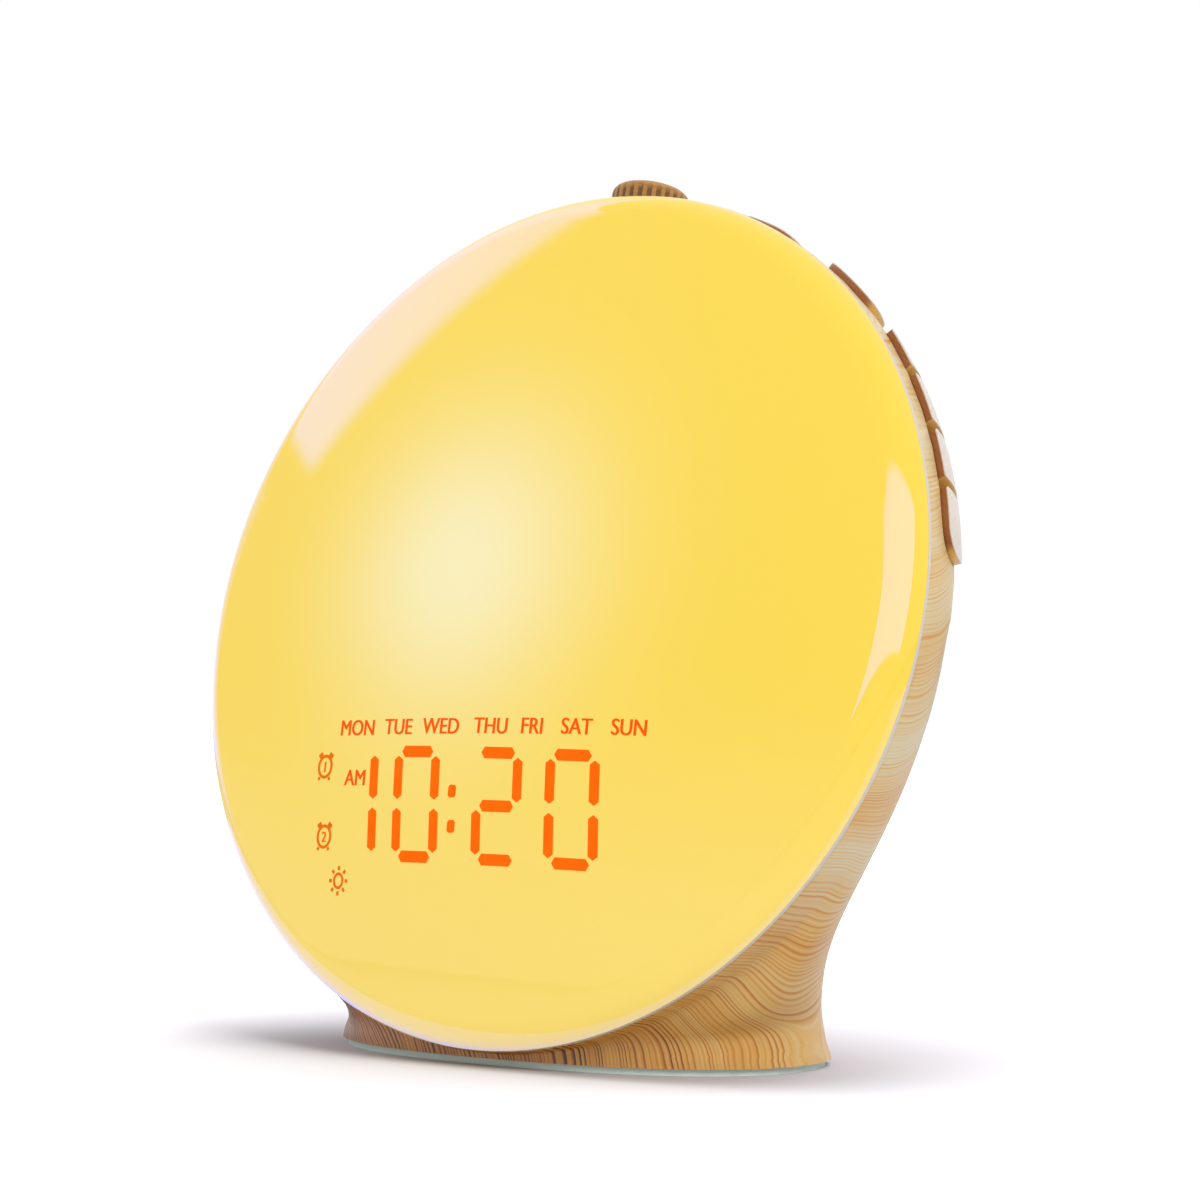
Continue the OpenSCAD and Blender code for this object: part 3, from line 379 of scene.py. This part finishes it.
# ---------------------------------------------------------------- diffuser dome
# Opal acrylic, polished, clipped in by a lip behind its rim and lit warm from behind. The light is
# strongest behind the round LED board and fades to the rim, where the moulding is thicker.
face_lean = math.radians(15)
rim_radius, rim_up = 85 * MM, 2.9 * MM
face_centre = Vector((0, -9 * MM, rim_up + rim_radius * math.cos(face_lean)))
face_turn = math.pi / 2 - face_lean
face_matrix = Matrix.Translation(face_centre) @ Matrix.Rotation(face_turn, 4, "X")
dome_rise, cap_radius = 16 * MM, 349.5 * MM
dome_edge, dome_wall, flange = 7 * MM, 2 * MM, 0.8 * MM
lip_radius, lip_width, lip_deep = 79.4 * MM, 2 * MM, 1.2 * MM
cap_turn = math.atan2(cap_radius - dome_rise, rim_radius - dome_edge)
edge_steps, cap_steps, rim_steps = 24, 60, 192
spot_x, spot_y, spot_spread = -11.5 * MM, 5.4 * MM, 21 * MM
glow_top, glow_foot = -10 * MM, -70 * MM
lit_share, pigment_share = 0.68, 0.3
# the mix node's sockets for colours come behind those for numbers and vectors
colour_1, colour_2, mixed = 6, 7, 2


def face_coords(tree):
    """Object coordinates in the face's own frame: x to the right, y up the face and z out of it,
    with zero at the rim's centre."""
    coords = add_node(tree, "ShaderNodeTexCoord").outputs["Object"]
    centred = add_node(tree, "ShaderNodeVectorMath", {0: coords, 1: face_centre}, operation="SUBTRACT")
    return add_node(tree, "ShaderNodeMapping", {"Vector": centred, "Rotation": (-face_turn, 0, 0)})


# opal acrylic: a cloudy lit body, hot in the middle, under a clear skin that mirrors the lights
opal, tree, out = new_material("opal acrylic, lit")
on_face = face_coords(tree)
away = add_node(tree, "ShaderNodeVectorMath", {0: on_face, 1: (spot_x, spot_y, 0)},
                operation="SUBTRACT")
away = add_node(tree, "ShaderNodeVectorMath", {0: away, 1: (1, 1, 0)}, operation="MULTIPLY")
away = add_node(tree, "ShaderNodeVectorMath", {0: away}, operation="LENGTH").outputs["Value"]
near = add_node(tree, "ShaderNodeMath", {0: away, 1: -1 / (2 * spot_spread ** 2)},
                operation="MULTIPLY")
near = add_node(tree, "ShaderNodeMath", {0: near, 1: away}, operation="MULTIPLY")
near = add_node(tree, "ShaderNodeMath", {0: math.e, 1: near}, operation="POWER")
up = add_node(tree, "ShaderNodeSeparateXYZ", {"Vector": on_face}).outputs["Y"]
low = add_node(tree, "ShaderNodeMapRange", {"Value": up, "From Min": glow_top, "From Max": glow_foot},
               interpolation_type="SMOOTHSTEP")
body_glow = add_node(tree, "ShaderNodeMix", {0: low, colour_1: linear("#FFDC48"),
                                             colour_2: linear("#FFE06C")}, data_type="RGBA")
glow = add_node(tree, "ShaderNodeMix", {0: near, colour_1: body_glow.outputs[mixed],
                                        colour_2: linear("#FFF4BC")}, data_type="RGBA").outputs[mixed]
pigment = add_node(tree, "ShaderNodeMix", {0: 1 - pigment_share, colour_1: glow,
                                           colour_2: linear("#000000")}, data_type="RGBA")
acrylic = add_node(tree, "ShaderNodeBsdfPrincipled", {
    "Base Color": pigment.outputs[mixed], "Roughness": 0.5, "Specular IOR Level": 0.0,
    "Emission Color": glow, "Emission Strength": lit_share,
    "Coat Weight": 1.0, "Coat IOR": 1.49, "Coat Roughness": 0.04})
tree.links.new(acrylic.outputs[0], out.inputs[0])


def arc(radius, side, up, start, end, steps):
    """Points of an arc in a profile, from one angle to another."""
    turns = (start + (end - start) * i / steps for i in range(steps + 1))
    return [(side + radius * math.cos(t), up + radius * math.sin(t)) for t in turns]


def dome_skin(inset):
    """The dome's profile from the rim to the middle, at a distance inside its outer face."""
    start = math.asin(flange / (dome_edge - inset))
    return (arc(dome_edge - inset, rim_radius - dome_edge, 0, start, cap_turn, edge_steps)
            + arc(cap_radius - inset, 0, dome_rise - cap_radius, cap_turn, math.pi / 2, cap_steps)[1:])


outer, inner = dome_skin(0), dome_skin(dome_wall)
lip_inside = lip_radius - lip_width
lip = [(lip_inside, inner[1][1]), (lip_inside, -lip_deep), (lip_radius, -lip_deep),
       (lip_radius, flange)]
bm = bmesh.new()
ring = [bm.verts.new((r, 0, z)) for r, z in outer + inner[:0:-1] + lip]
edges = [bm.edges.new(pair) for pair in zip(ring, ring[1:] + ring[:1])]
bmesh.ops.spin(bm, geom=ring + edges, axis=(0, 0, 1), angle=math.tau, steps=rim_steps, use_merge=True)
bmesh.ops.remove_doubles(bm, verts=bm.verts, dist=same_place)
bm.transform(face_matrix)
dome_gloss.objects.link(
    finish_piece("opal_dome", bm, opal, replaces=["diffuser_dome"], sharp=35))

# ---------------------------------------------------------------- lit display
# The light channels behind the dome throw sharp amber digits and the weekday row on it. Each mark
# is a sliver that follows the dome's surface, a twentieth of a millimetre proud.
mark_deep = 0.05 * MM
digit_slant = -0.075
digit_row, digit_half = -41.0 * MM, 9.95 * MM
digit_places = [(-30.5 * MM, 9.5 * MM), (-14.5 * MM, 9.5 * MM), (5.5 * MM, 9.5 * MM),
                (22.7 * MM, 9.9 * MM)]
bar_thick, bar_tip, bar_upright, bar_gap = 2.2 * MM, 0.75 * MM, 8.3 * MM, 1.5 * MM
colon_x, colon_rows = -5.33 * MM, (2.55 * MM, -4.05 * MM)
dot_x, dot_y, dot_cut = 0.95 * MM, 1.2 * MM, 0.4 * MM
mottle_size, mark_black = 2.5 * MM, 0.85


def lit_mark(name, colour, deeper, glow):
    """Amber light on the opal: nearly all of it is emission, so it looks flat and has no gloss."""
    material, tree, out = new_material(name)
    coords = add_node(tree, "ShaderNodeTexCoord").outputs["Object"]
    cloud = add_node(tree, "ShaderNodeTexNoise", {"Vector": coords, "Scale": 1 / mottle_size})
    cloud = add_node(tree, "ShaderNodeMapRange", {"Value": cloud, "From Min": 0.2, "From Max": 0.8},
                     interpolation_type="SMOOTHSTEP")
    tint = add_node(tree, "ShaderNodeMix", {0: cloud, colour_1: linear(colour),
                                            colour_2: linear(deeper)}, data_type="RGBA").outputs[mixed]
    dim = add_node(tree, "ShaderNodeMix", {0: mark_black, colour_1: tint,
                                           colour_2: linear("#000000")}, data_type="RGBA").outputs[mixed]
    shader = add_node(tree, "ShaderNodeBsdfPrincipled", {
        "Base Color": dim, "Roughness": 0.4, "Specular IOR Level": 0.0,
        "Emission Color": tint, "Emission Strength": glow})
    tree.links.new(shader.outputs[0], out.inputs[0])
    return material


def lay_on_dome(bm):
    """Lifts flat geometry (thickness in z) on to the dome and turns it with the face."""
    for v in bm.verts:
        v.co.z += dome_rise - cap_radius + math.sqrt(cap_radius ** 2 - v.co.x ** 2 - v.co.y ** 2)
    bm.transform(face_matrix)


def raise_slab(bm, faces):
    """Makes flat faces a closed slab, twice mark_deep thick."""
    made = bmesh.ops.extrude_face_region(bm, geom=faces)
    top = [v for v in made["geom"] if isinstance(v, bmesh.types.BMVert)]
    bmesh.ops.translate(bm, verts=top, vec=(0, 0, 2 * mark_deep))


def add_outline(bm, points):
    """A closed slab over an outline."""
    raise_slab(bm, [bm.faces.new([bm.verts.new((x, y, -mark_deep)) for x, y in points])])


def add_bar(bm, x, y, length, upright):
    """One bar of a digit, with pointed ends."""
    half, w = length / 2, bar_thick / 2
    outline = [(-half, 0), (-half + bar_tip, -w), (half - bar_tip, -w), (half, 0),
               (half - bar_tip, w), (-half + bar_tip, w)]
    if upright:
        outline = [(-b, a) for a, b in outline]
    add_outline(bm, [(x + a + digit_slant * (y + b), digit_row + y + b) for a, b in outline])


zero = ("top", "bottom", "left_up", "left_down", "right_up", "right_down")
lit_bars = [("right_up", "right_down"), zero, ("top", "middle", "bottom", "right_up", "left_down"), zero]
bar_place = {"top": (0, 1, False), "middle": (0, 0, False), "bottom": (0, -1, False),
             "left_up": (-1, 0.5, True), "left_down": (-1, -0.5, True),
             "right_up": (1, 0.5, True), "right_down": (1, -0.5, True)}
bm = bmesh.new()
for (middle, across), lit in zip(digit_places, lit_bars):
    for name in lit:
        side, up, upright = bar_place[name]
        add_bar(bm, middle + side * across / 2, up * digit_half,
                bar_upright if upright else across - bar_gap, upright)
dot = [(-dot_x + dot_cut, -dot_y), (dot_x - dot_cut, -dot_y), (dot_x, -dot_y + dot_cut),
       (dot_x, dot_y - dot_cut), (dot_x - dot_cut, dot_y), (-dot_x + dot_cut, dot_y),
       (-dot_x, dot_y - dot_cut), (-dot_x, -dot_y + dot_cut)]
for y in colon_rows:
    add_outline(bm, [(colon_x + digit_slant * y + a, digit_row + y + b) for a, b in dot])
lay_on_dome(bm)
# amber light: strong flat orange, the brightest mark on the dome
finish_piece("lit_digits", bm, lit_mark("amber light on opal", "#FF6A0E", "#FE640A", 0.98))

letter_size, letter_stretch, letter_slant, letter_bold = 4.35 * MM, 0.93, -0.02, 0.1 * MM
curve_steps = 4
day_places = {"MON": -32.1 * MM, "TUE": -21.0 * MM, "WED": -10.0 * MM, "THU": 2.3 * MM,
              "FRI": 12.0 * MM, "SAT": 22.1 * MM, "SUN": 33.6 * MM}
day_row, day_climb, row_start = -27.9 * MM, 0.014, -32 * MM
am_x, am_row = -31.2 * MM, -37.6 * MM


def add_text(bm, words, x, y, size, stretch, slant, bold):
    """Lettering with its middle at x and its foot at y, as a closed slab. It is struck twice, a
    little apart, so that it is bold."""
    curve = bpy.data.curves.new("lettering", "FONT")
    curve.body, curve.size, curve.align_x = words, size, "CENTER"
    curve.extrude = mark_deep
    curve.resolution_u = curve_steps
    obj = bpy.data.objects.new("lettering", curve)
    bpy.context.collection.objects.link(obj)
    bpy.context.view_layer.update()
    mesh = bpy.data.meshes.new_from_object(obj)
    bpy.data.objects.remove(obj)
    shape = Matrix(((stretch, slant, 0, 0), (0, 1, 0, 0), (0, 0, 1, 0), (0, 0, 0, 1)))
    mesh.transform(Matrix.Translation((x - bold, y, 0)) @ shape)
    bm.from_mesh(mesh)
    mesh.transform(Matrix.Translation((2 * bold, 0, 0.1 * mark_deep)))
    bm.from_mesh(mesh)
    bpy.data.meshes.remove(mesh)


bm = bmesh.new()
for words, x in day_places.items():
    add_text(bm, words, x, day_row + day_climb * (x - row_start), letter_size, letter_stretch,
             letter_slant, letter_bold)
add_text(bm, "AM", am_x, am_row, letter_size, letter_stretch, letter_slant, letter_bold)
bmesh.ops.remove_doubles(bm, verts=bm.verts, dist=same_place)
lay_on_dome(bm)
# amber lettering: redder and a little dimmer than the digits
finish_piece("lit_words", bm, lit_mark("amber lettering on opal", "#F85C10", "#F2560C", 0.94))

# ---------------------------------------------------------------- lit signs
# Three dim signs at the left of the digits, thrown on the dome as they are: two alarm clocks, each
# with bells, feet and its number, and the sun of the dawn light.
alarm_places = {"1": (-40.1 * MM, -33.95 * MM), "2": (-38.5 * MM, -47.5 * MM)}
alarm_x, alarm_y, alarm_stroke = 2.1 * MM, 2.35 * MM, 0.6 * MM
number_size, number_drop, number_stretch, number_bold = 2.9 * MM, 1.05 * MM, 0.9, 0.11 * MM
bell = ((1.0 * MM, 2.55 * MM), (1.95 * MM, 1.85 * MM), 0.85 * MM)
leg = ((1.25 * MM, -2.05 * MM), (1.6 * MM, -2.6 * MM), 0.6 * MM)
sun_place = (-33.5 * MM, -55.9 * MM)
disc_x, disc_y, disc_stroke = 1.45 * MM, 1.6 * MM, 0.55 * MM
rays, ray_start, ray_end, ray_stroke = 8, (1.8 * MM, 2.0 * MM), (2.55 * MM, 2.8 * MM), 0.65 * MM
oval_steps = 28


def add_oval(bm, x, y, half_x, half_y, stroke):
    """An oval ring."""
    edges = set()
    for inset in (0, stroke):
        place = Matrix.Translation((x, y, -mark_deep))
        size = Matrix.Diagonal((half_x - inset, half_y - inset, 1, 1))
        made = bmesh.ops.create_circle(bm, segments=oval_steps, radius=1, matrix=place @ size)
        edges.update(e for v in made["verts"] for e in v.link_edges)
    raise_slab(bm, bmesh.ops.bridge_loops(bm, edges=list(edges))["faces"])


def add_stroke(bm, x0, y0, x1, y1, stroke):
    """A straight stroke from one point to another."""
    half = Vector((x1 - x0, y1 - y0)).normalized() * stroke / 2
    add_outline(bm, [(x0 - half.y, y0 + half.x), (x0 + half.y, y0 - half.x),
                     (x1 + half.y, y1 - half.x), (x1 - half.y, y1 + half.x)])


bm = bmesh.new()
for number, (x, y) in alarm_places.items():
    add_oval(bm, x, y, alarm_x, alarm_y, alarm_stroke)
    add_text(bm, number, x, y - number_drop, number_size, number_stretch, 0.0, number_bold)
    for side in (-1, 1):
        for (x0, y0), (x1, y1), stroke in (bell, leg):
            add_stroke(bm, x + side * x0, y + y0, x + side * x1, y + y1, stroke)
x, y = sun_place
add_oval(bm, x, y, disc_x, disc_y, disc_stroke)
for turn in (math.tau * i / rays for i in range(rays)):
    add_stroke(bm, x + ray_start[0] * math.cos(turn), y + ray_start[1] * math.sin(turn),
               x + ray_end[0] * math.cos(turn), y + ray_end[1] * math.sin(turn), ray_stroke)
lay_on_dome(bm)
# dim amber: browner and softer than the words
finish_piece("lit_signs", bm, lit_mark("dim amber signs on opal", "#F27A1E", "#EA6C14", 0.86))

# ---------------------------------------------------------------- front frame and pad
# The frame is moulded in light grey ABS and shows as a thin ring between dome and wood. The pad
# under the foot is soft clear silicone, die cut and glued on.
dent_size, dent_deep, dent_share = 0.4 * MM, 0.1 * MM, 0.02


def stock(name, colour, roughness, mottle, cloud_size, **surface):
    """Moulded, cut or rolled stock: a slightly uneven colour and a fine surface grain, which is
    drawn coarser than the real one, so that it shows."""
    material, tree, out = new_material(name)
    coords = add_node(tree, "ShaderNodeTexCoord").outputs["Object"]
    base = linear(colour)
    darker = tuple(c * (1 - mottle) for c in base[:3]) + (1,)
    cloud = add_node(tree, "ShaderNodeTexNoise", {"Vector": coords, "Scale": 1 / cloud_size,
                                                  "Detail": 3.0})
    tint = add_node(tree, "ShaderNodeMix", {0: cloud, colour_1: darker, colour_2: base},
                    data_type="RGBA").outputs[mixed]
    fine = add_node(tree, "ShaderNodeTexNoise", {"Vector": coords, "Scale": 1 / dent_size,
                                                 "Detail": 1.0})
    dents = add_node(tree, "ShaderNodeBump", {"Height": fine, "Strength": dent_share,
                                              "Distance": dent_deep})
    shader = add_node(tree, "ShaderNodeBsdfPrincipled", {
        "Base Color": tint, "Roughness": roughness, "Normal": dents, **surface})
    tree.links.new(shader.outputs[0], out.inputs[0])
    return material


# grey ABS: a plain, slightly warm ring with a dull shine; silicone: a cool, faintly green, milky edge
dress("front_frame", stock("light grey ABS frame", "#CFC9BD", 0.42, 0.06, 11 * MM, IOR=1.46))
dress("base_pad", stock("clear silicone pad", "#E0F2E9", 0.35, 0.06, 11 * MM, IOR=1.41))

# ---------------------------------------------------------------- side keys
# Moulded ABS under the housing's film, each on a plunger in its slot along the flank. The film is
# painted by facing: a pale painted highlight on the tops, golden ends, reddish painted shade in front.
# the tops lie on a tube that runs round the face: its middle's distance from the face's and its radius
tube_middle, key_top = 56 * MM, 30.4 * MM
top_start, top_full = key_top - 0.3 * MM, key_top - 0.1 * MM
front_start, front_full = 0.4, 0.8
key_edge, edge_angle = 0.22 * MM, math.radians(40)
keys_a_side = 6


def reach(tree, first, second):
    """The distance that two offsets at a right angle make."""
    squares = [add_node(tree, "ShaderNodeMath", {0: offset, 1: 2.0}, operation="POWER")
               for offset in (first, second)]
    total = add_node(tree, "ShaderNodeMath", {0: squares[0], 1: squares[1]}, operation="ADD")
    return add_node(tree, "ShaderNodeMath", {0: total, 1: 0.5}, operation="POWER")


# wood film on the keys: nearly white tops as a painted highlight, standing out from the rich grain round
# them
key_wood, tree, out = new_material("wood film on the keys")
painted_lit_tops, tone = wood_colour(tree, ("#AE8C66", "#BEA388", "#CBB8A2", "#D3C5B3", "#DACFC2"),
                         (4 * MM, 0, 6 * MM))
painted_shade_walls, painted_shade_tone = wood_colour(tree, ("#4A2010", "#672E16", "#844420", "#925229", "#A06434"),
                              (0, 0, 10 * MM))
# the ends: golden, painted half light between the pale tops and the shaded front walls
painted_half_lit_ends = add_node(tree, "ShaderNodeMix", {0: painted_shade_tone, colour_1: linear("#A8742A"),
                                          colour_2: linear("#E2B65E")}, data_type="RGBA").outputs[mixed]
# faces that look out of the face get the dark film as painted shade
normal = add_node(tree, "ShaderNodeTexCoord").outputs["Normal"]
turned = add_node(tree, "ShaderNodeMapping", {"Vector": normal, "Rotation": (-face_turn, 0, 0)})
forward = add_node(tree, "ShaderNodeSeparateXYZ", {"Vector": turned}).outputs["Z"]
front = add_node(tree, "ShaderNodeMapRange", {"Value": forward, "From Min": front_start,
                                              "From Max": front_full},
                 interpolation_type="SMOOTHSTEP")
painted_shade_sides = add_node(tree, "ShaderNodeMix", {0: front, colour_1: painted_half_lit_ends, colour_2: painted_shade_walls},
                 data_type="RGBA").outputs[mixed]
across, up, out_of_face = add_node(tree, "ShaderNodeSeparateXYZ", {"Vector": face_coords(tree)}).outputs
from_middle = add_node(tree, "ShaderNodeMath", {0: reach(tree, across, up), 1: tube_middle},
                       operation="SUBTRACT")
# the tops, on the tube, get the pale film as a painted highlight
top = add_node(tree, "ShaderNodeMapRange", {"Value": reach(tree, from_middle, out_of_face),
                                            "From Min": top_start, "From Max": top_full},
               interpolation_type="SMOOTHSTEP")
shade = add_node(tree, "ShaderNodeMix", {0: top, colour_1: painted_shade_sides, colour_2: painted_lit_tops},
                 data_type="RGBA").outputs[mixed]
lacquer(tree, out, shade, tone)
for node in (f"{side}_key_{n}" for side in ("right", "left") for n in range(1, keys_a_side + 1)):
    dress(node, key_wood)
    edge = bpy.data.objects[node].modifiers.new("moulded edge", "BEVEL")
    edge.width, edge.segments = key_edge, 2
    edge.limit_method, edge.angle_limit = "ANGLE", edge_angle

# ---------------------------------------------------------------- knob
# Moulded ABS, fluted for a grip, pushed on the encoder's shaft. It has the housing's film, darker,
# with the flutes' grooves in shadow below its rounded crown.
# its radius, its axis' place behind the face, and the height up the face where its crown rounds off
knob_radius, knob_behind, knob_round = 7.8 * MM, -9.2 * MM, 88.2 * MM
flute_start, flute_full = knob_radius - 0.02 * MM, knob_radius - 0.3 * MM
crown_start, crown_full = knob_round - 0.3 * MM, knob_round + 0.8 * MM
flute_shadow = 0.75

# wood film on the knob: toffee brown, a shade darker than the housing round it
knob_wood, tree, out = new_material("wood film on the knob")
crown, tone = wood_colour(tree, ("#54290F", "#7A4A1C", "#96622A", "#A67434", "#B48242"),
                          (0, 0, 20 * MM))
across, up, out_of_face = add_node(tree, "ShaderNodeSeparateXYZ", {"Vector": face_coords(tree)}).outputs
behind = add_node(tree, "ShaderNodeMath", {0: out_of_face, 1: knob_behind}, operation="SUBTRACT")
flute = add_node(tree, "ShaderNodeMapRange", {"Value": reach(tree, across, behind),
                                              "From Min": flute_full, "From Max": flute_start,
                                              "To Min": flute_shadow, "To Max": 0.0},
                 interpolation_type="SMOOTHSTEP")
below = add_node(tree, "ShaderNodeMapRange", {"Value": up, "From Min": crown_start,
                                              "From Max": crown_full, "To Min": 1.0, "To Max": 0.0},
                 interpolation_type="SMOOTHSTEP")
groove = add_node(tree, "ShaderNodeMath", {0: flute, 1: below}, operation="MULTIPLY")
shade = add_node(tree, "ShaderNodeMix", {0: groove, colour_1: crown, colour_2: linear("#3E1E0C")},
                 data_type="RGBA").outputs[mixed]
lacquer(tree, out, shade, tone)
dress("top_knob", knob_wood)

# ---------------------------------------------------------------- plastics inside
# Moulded parts that the housing hides: the reflector behind the dome, light pipes and their shroud,
# chips and sockets, the keys' plungers and the encoder. They snap, press or screw in.


def dress_all(rows, **surface):
    """Makes each row's material and puts it on the row's nodes."""
    for name, colour, roughness, mottle, cloud_size, nodes in rows:
        material = stock(name, colour, roughness, mottle, cloud_size, **surface)
        for node in nodes:
            dress(node, material)


plungers = [f"{side}_plunger_{n}" for side in ("right", "left") for n in range(1, keys_a_side + 1)]
dress_all([
    # bright and even, so that the dome is lit from edge to edge
    ("white reflector ABS", "#F4F2EC", 0.5, 0.03, 17 * MM, ["reflector_plate"]),
    # warm resin with a wet shine
    ("LED lens resin", "#F3DE8E", 0.25, 0.05, 2 * MM, ["led_packages"]),
    # strong orange, smooth as glass
    ("amber light pipes", "#FF7A1E", 0.3, 0.05, 5 * MM, ["display_segments"]),
    # near black with a dull shine
    ("black ABS", "#1C1C1E", 0.45, 0.25, 3.3 * MM,
     ["display_shroud", "main_board_chips", "key_switches", "power_jack", "coin_cell_holder"]),
    # waxy off-white
    ("white nylon", "#E9E8E2", 0.5, 0.05, 5 * MM, ["usb_tongue", "encoder_rotor"] + plungers),
    # waxy mid grey
    ("grey nylon", "#77797B", 0.5, 0.12, 5 * MM, ["encoder_body", "encoder_shaft", "base_plate"]),
], IOR=1.46)

# ---------------------------------------------------------------- circuit boards
# Glass-fibre boards under a printed solder mask, routed to shape and screwed or slotted in behind
# the dome, along the keys and under the knob.
dress_all([
    # matt white that throws the LEDs' light forward
    ("white solder mask", "#EFEFEA", 0.4, 0.05, 5 * MM, ["led_board"]),
    # cloudy green with a soft shine
    ("green solder mask", "#1E6B41", 0.35, 0.25, 4 * MM,
     ["display_board", "main_board", "right_key_board", "left_key_board", "encoder_board"]),
], IOR=1.46)

# ---------------------------------------------------------------- metal parts
# Zinc-plated screws, the stamped cell, the sockets' brass and steel, and the pressed basket that the
# speaker is built in.
dress_all([
    # bluish grey with small bright spots
    ("zinc-plated steel screws", "#B9BCC0", 0.32, 0.15, 1.1 * MM,
     ["reflector_screws", "main_board_screws", "rear_cover_screws", "base_screws"]),
    # smooth and bright
    ("stamped cell steel", "#C9CACC", 0.28, 0.12, 8 * MM, ["coin_cell"]),
    # dull grey with wide soft lights
    ("pressed basket steel", "#8E9093", 0.4, 0.2, 7 * MM, ["speaker_basket"]),
    # pale yellow and bright
    ("tinned brass", "#C8B27A", 0.3, 0.12, 3.3 * MM, ["power_jack_pin"]),
    # cool and bright
    ("drawn socket steel", "#BFC1C4", 0.3, 0.1, 3.3 * MM, ["usb_socket"]),
], Metallic=1.0)

# ---------------------------------------------------------------- speaker
# A sintered magnet behind a pressed paper cone, which hangs in the basket on a moulded rubber
# surround. All are glued in.
dress_all([
    # dark and dull, like slate
    ("sintered magnet", "#2B2B2D", 0.6, 0.3, 2.5 * MM, ["speaker_magnet"]),
    # dark brown, with a felt-like grain
    ("cone paper", "#2E2A27", 0.85, 0.35, 1.4 * MM, ["speaker_cone"]),
    # black with a faint sheen
    ("surround rubber", "#191919", 0.7, 0.2, 3.3 * MM, ["speaker_surround"]),
], IOR=1.46)
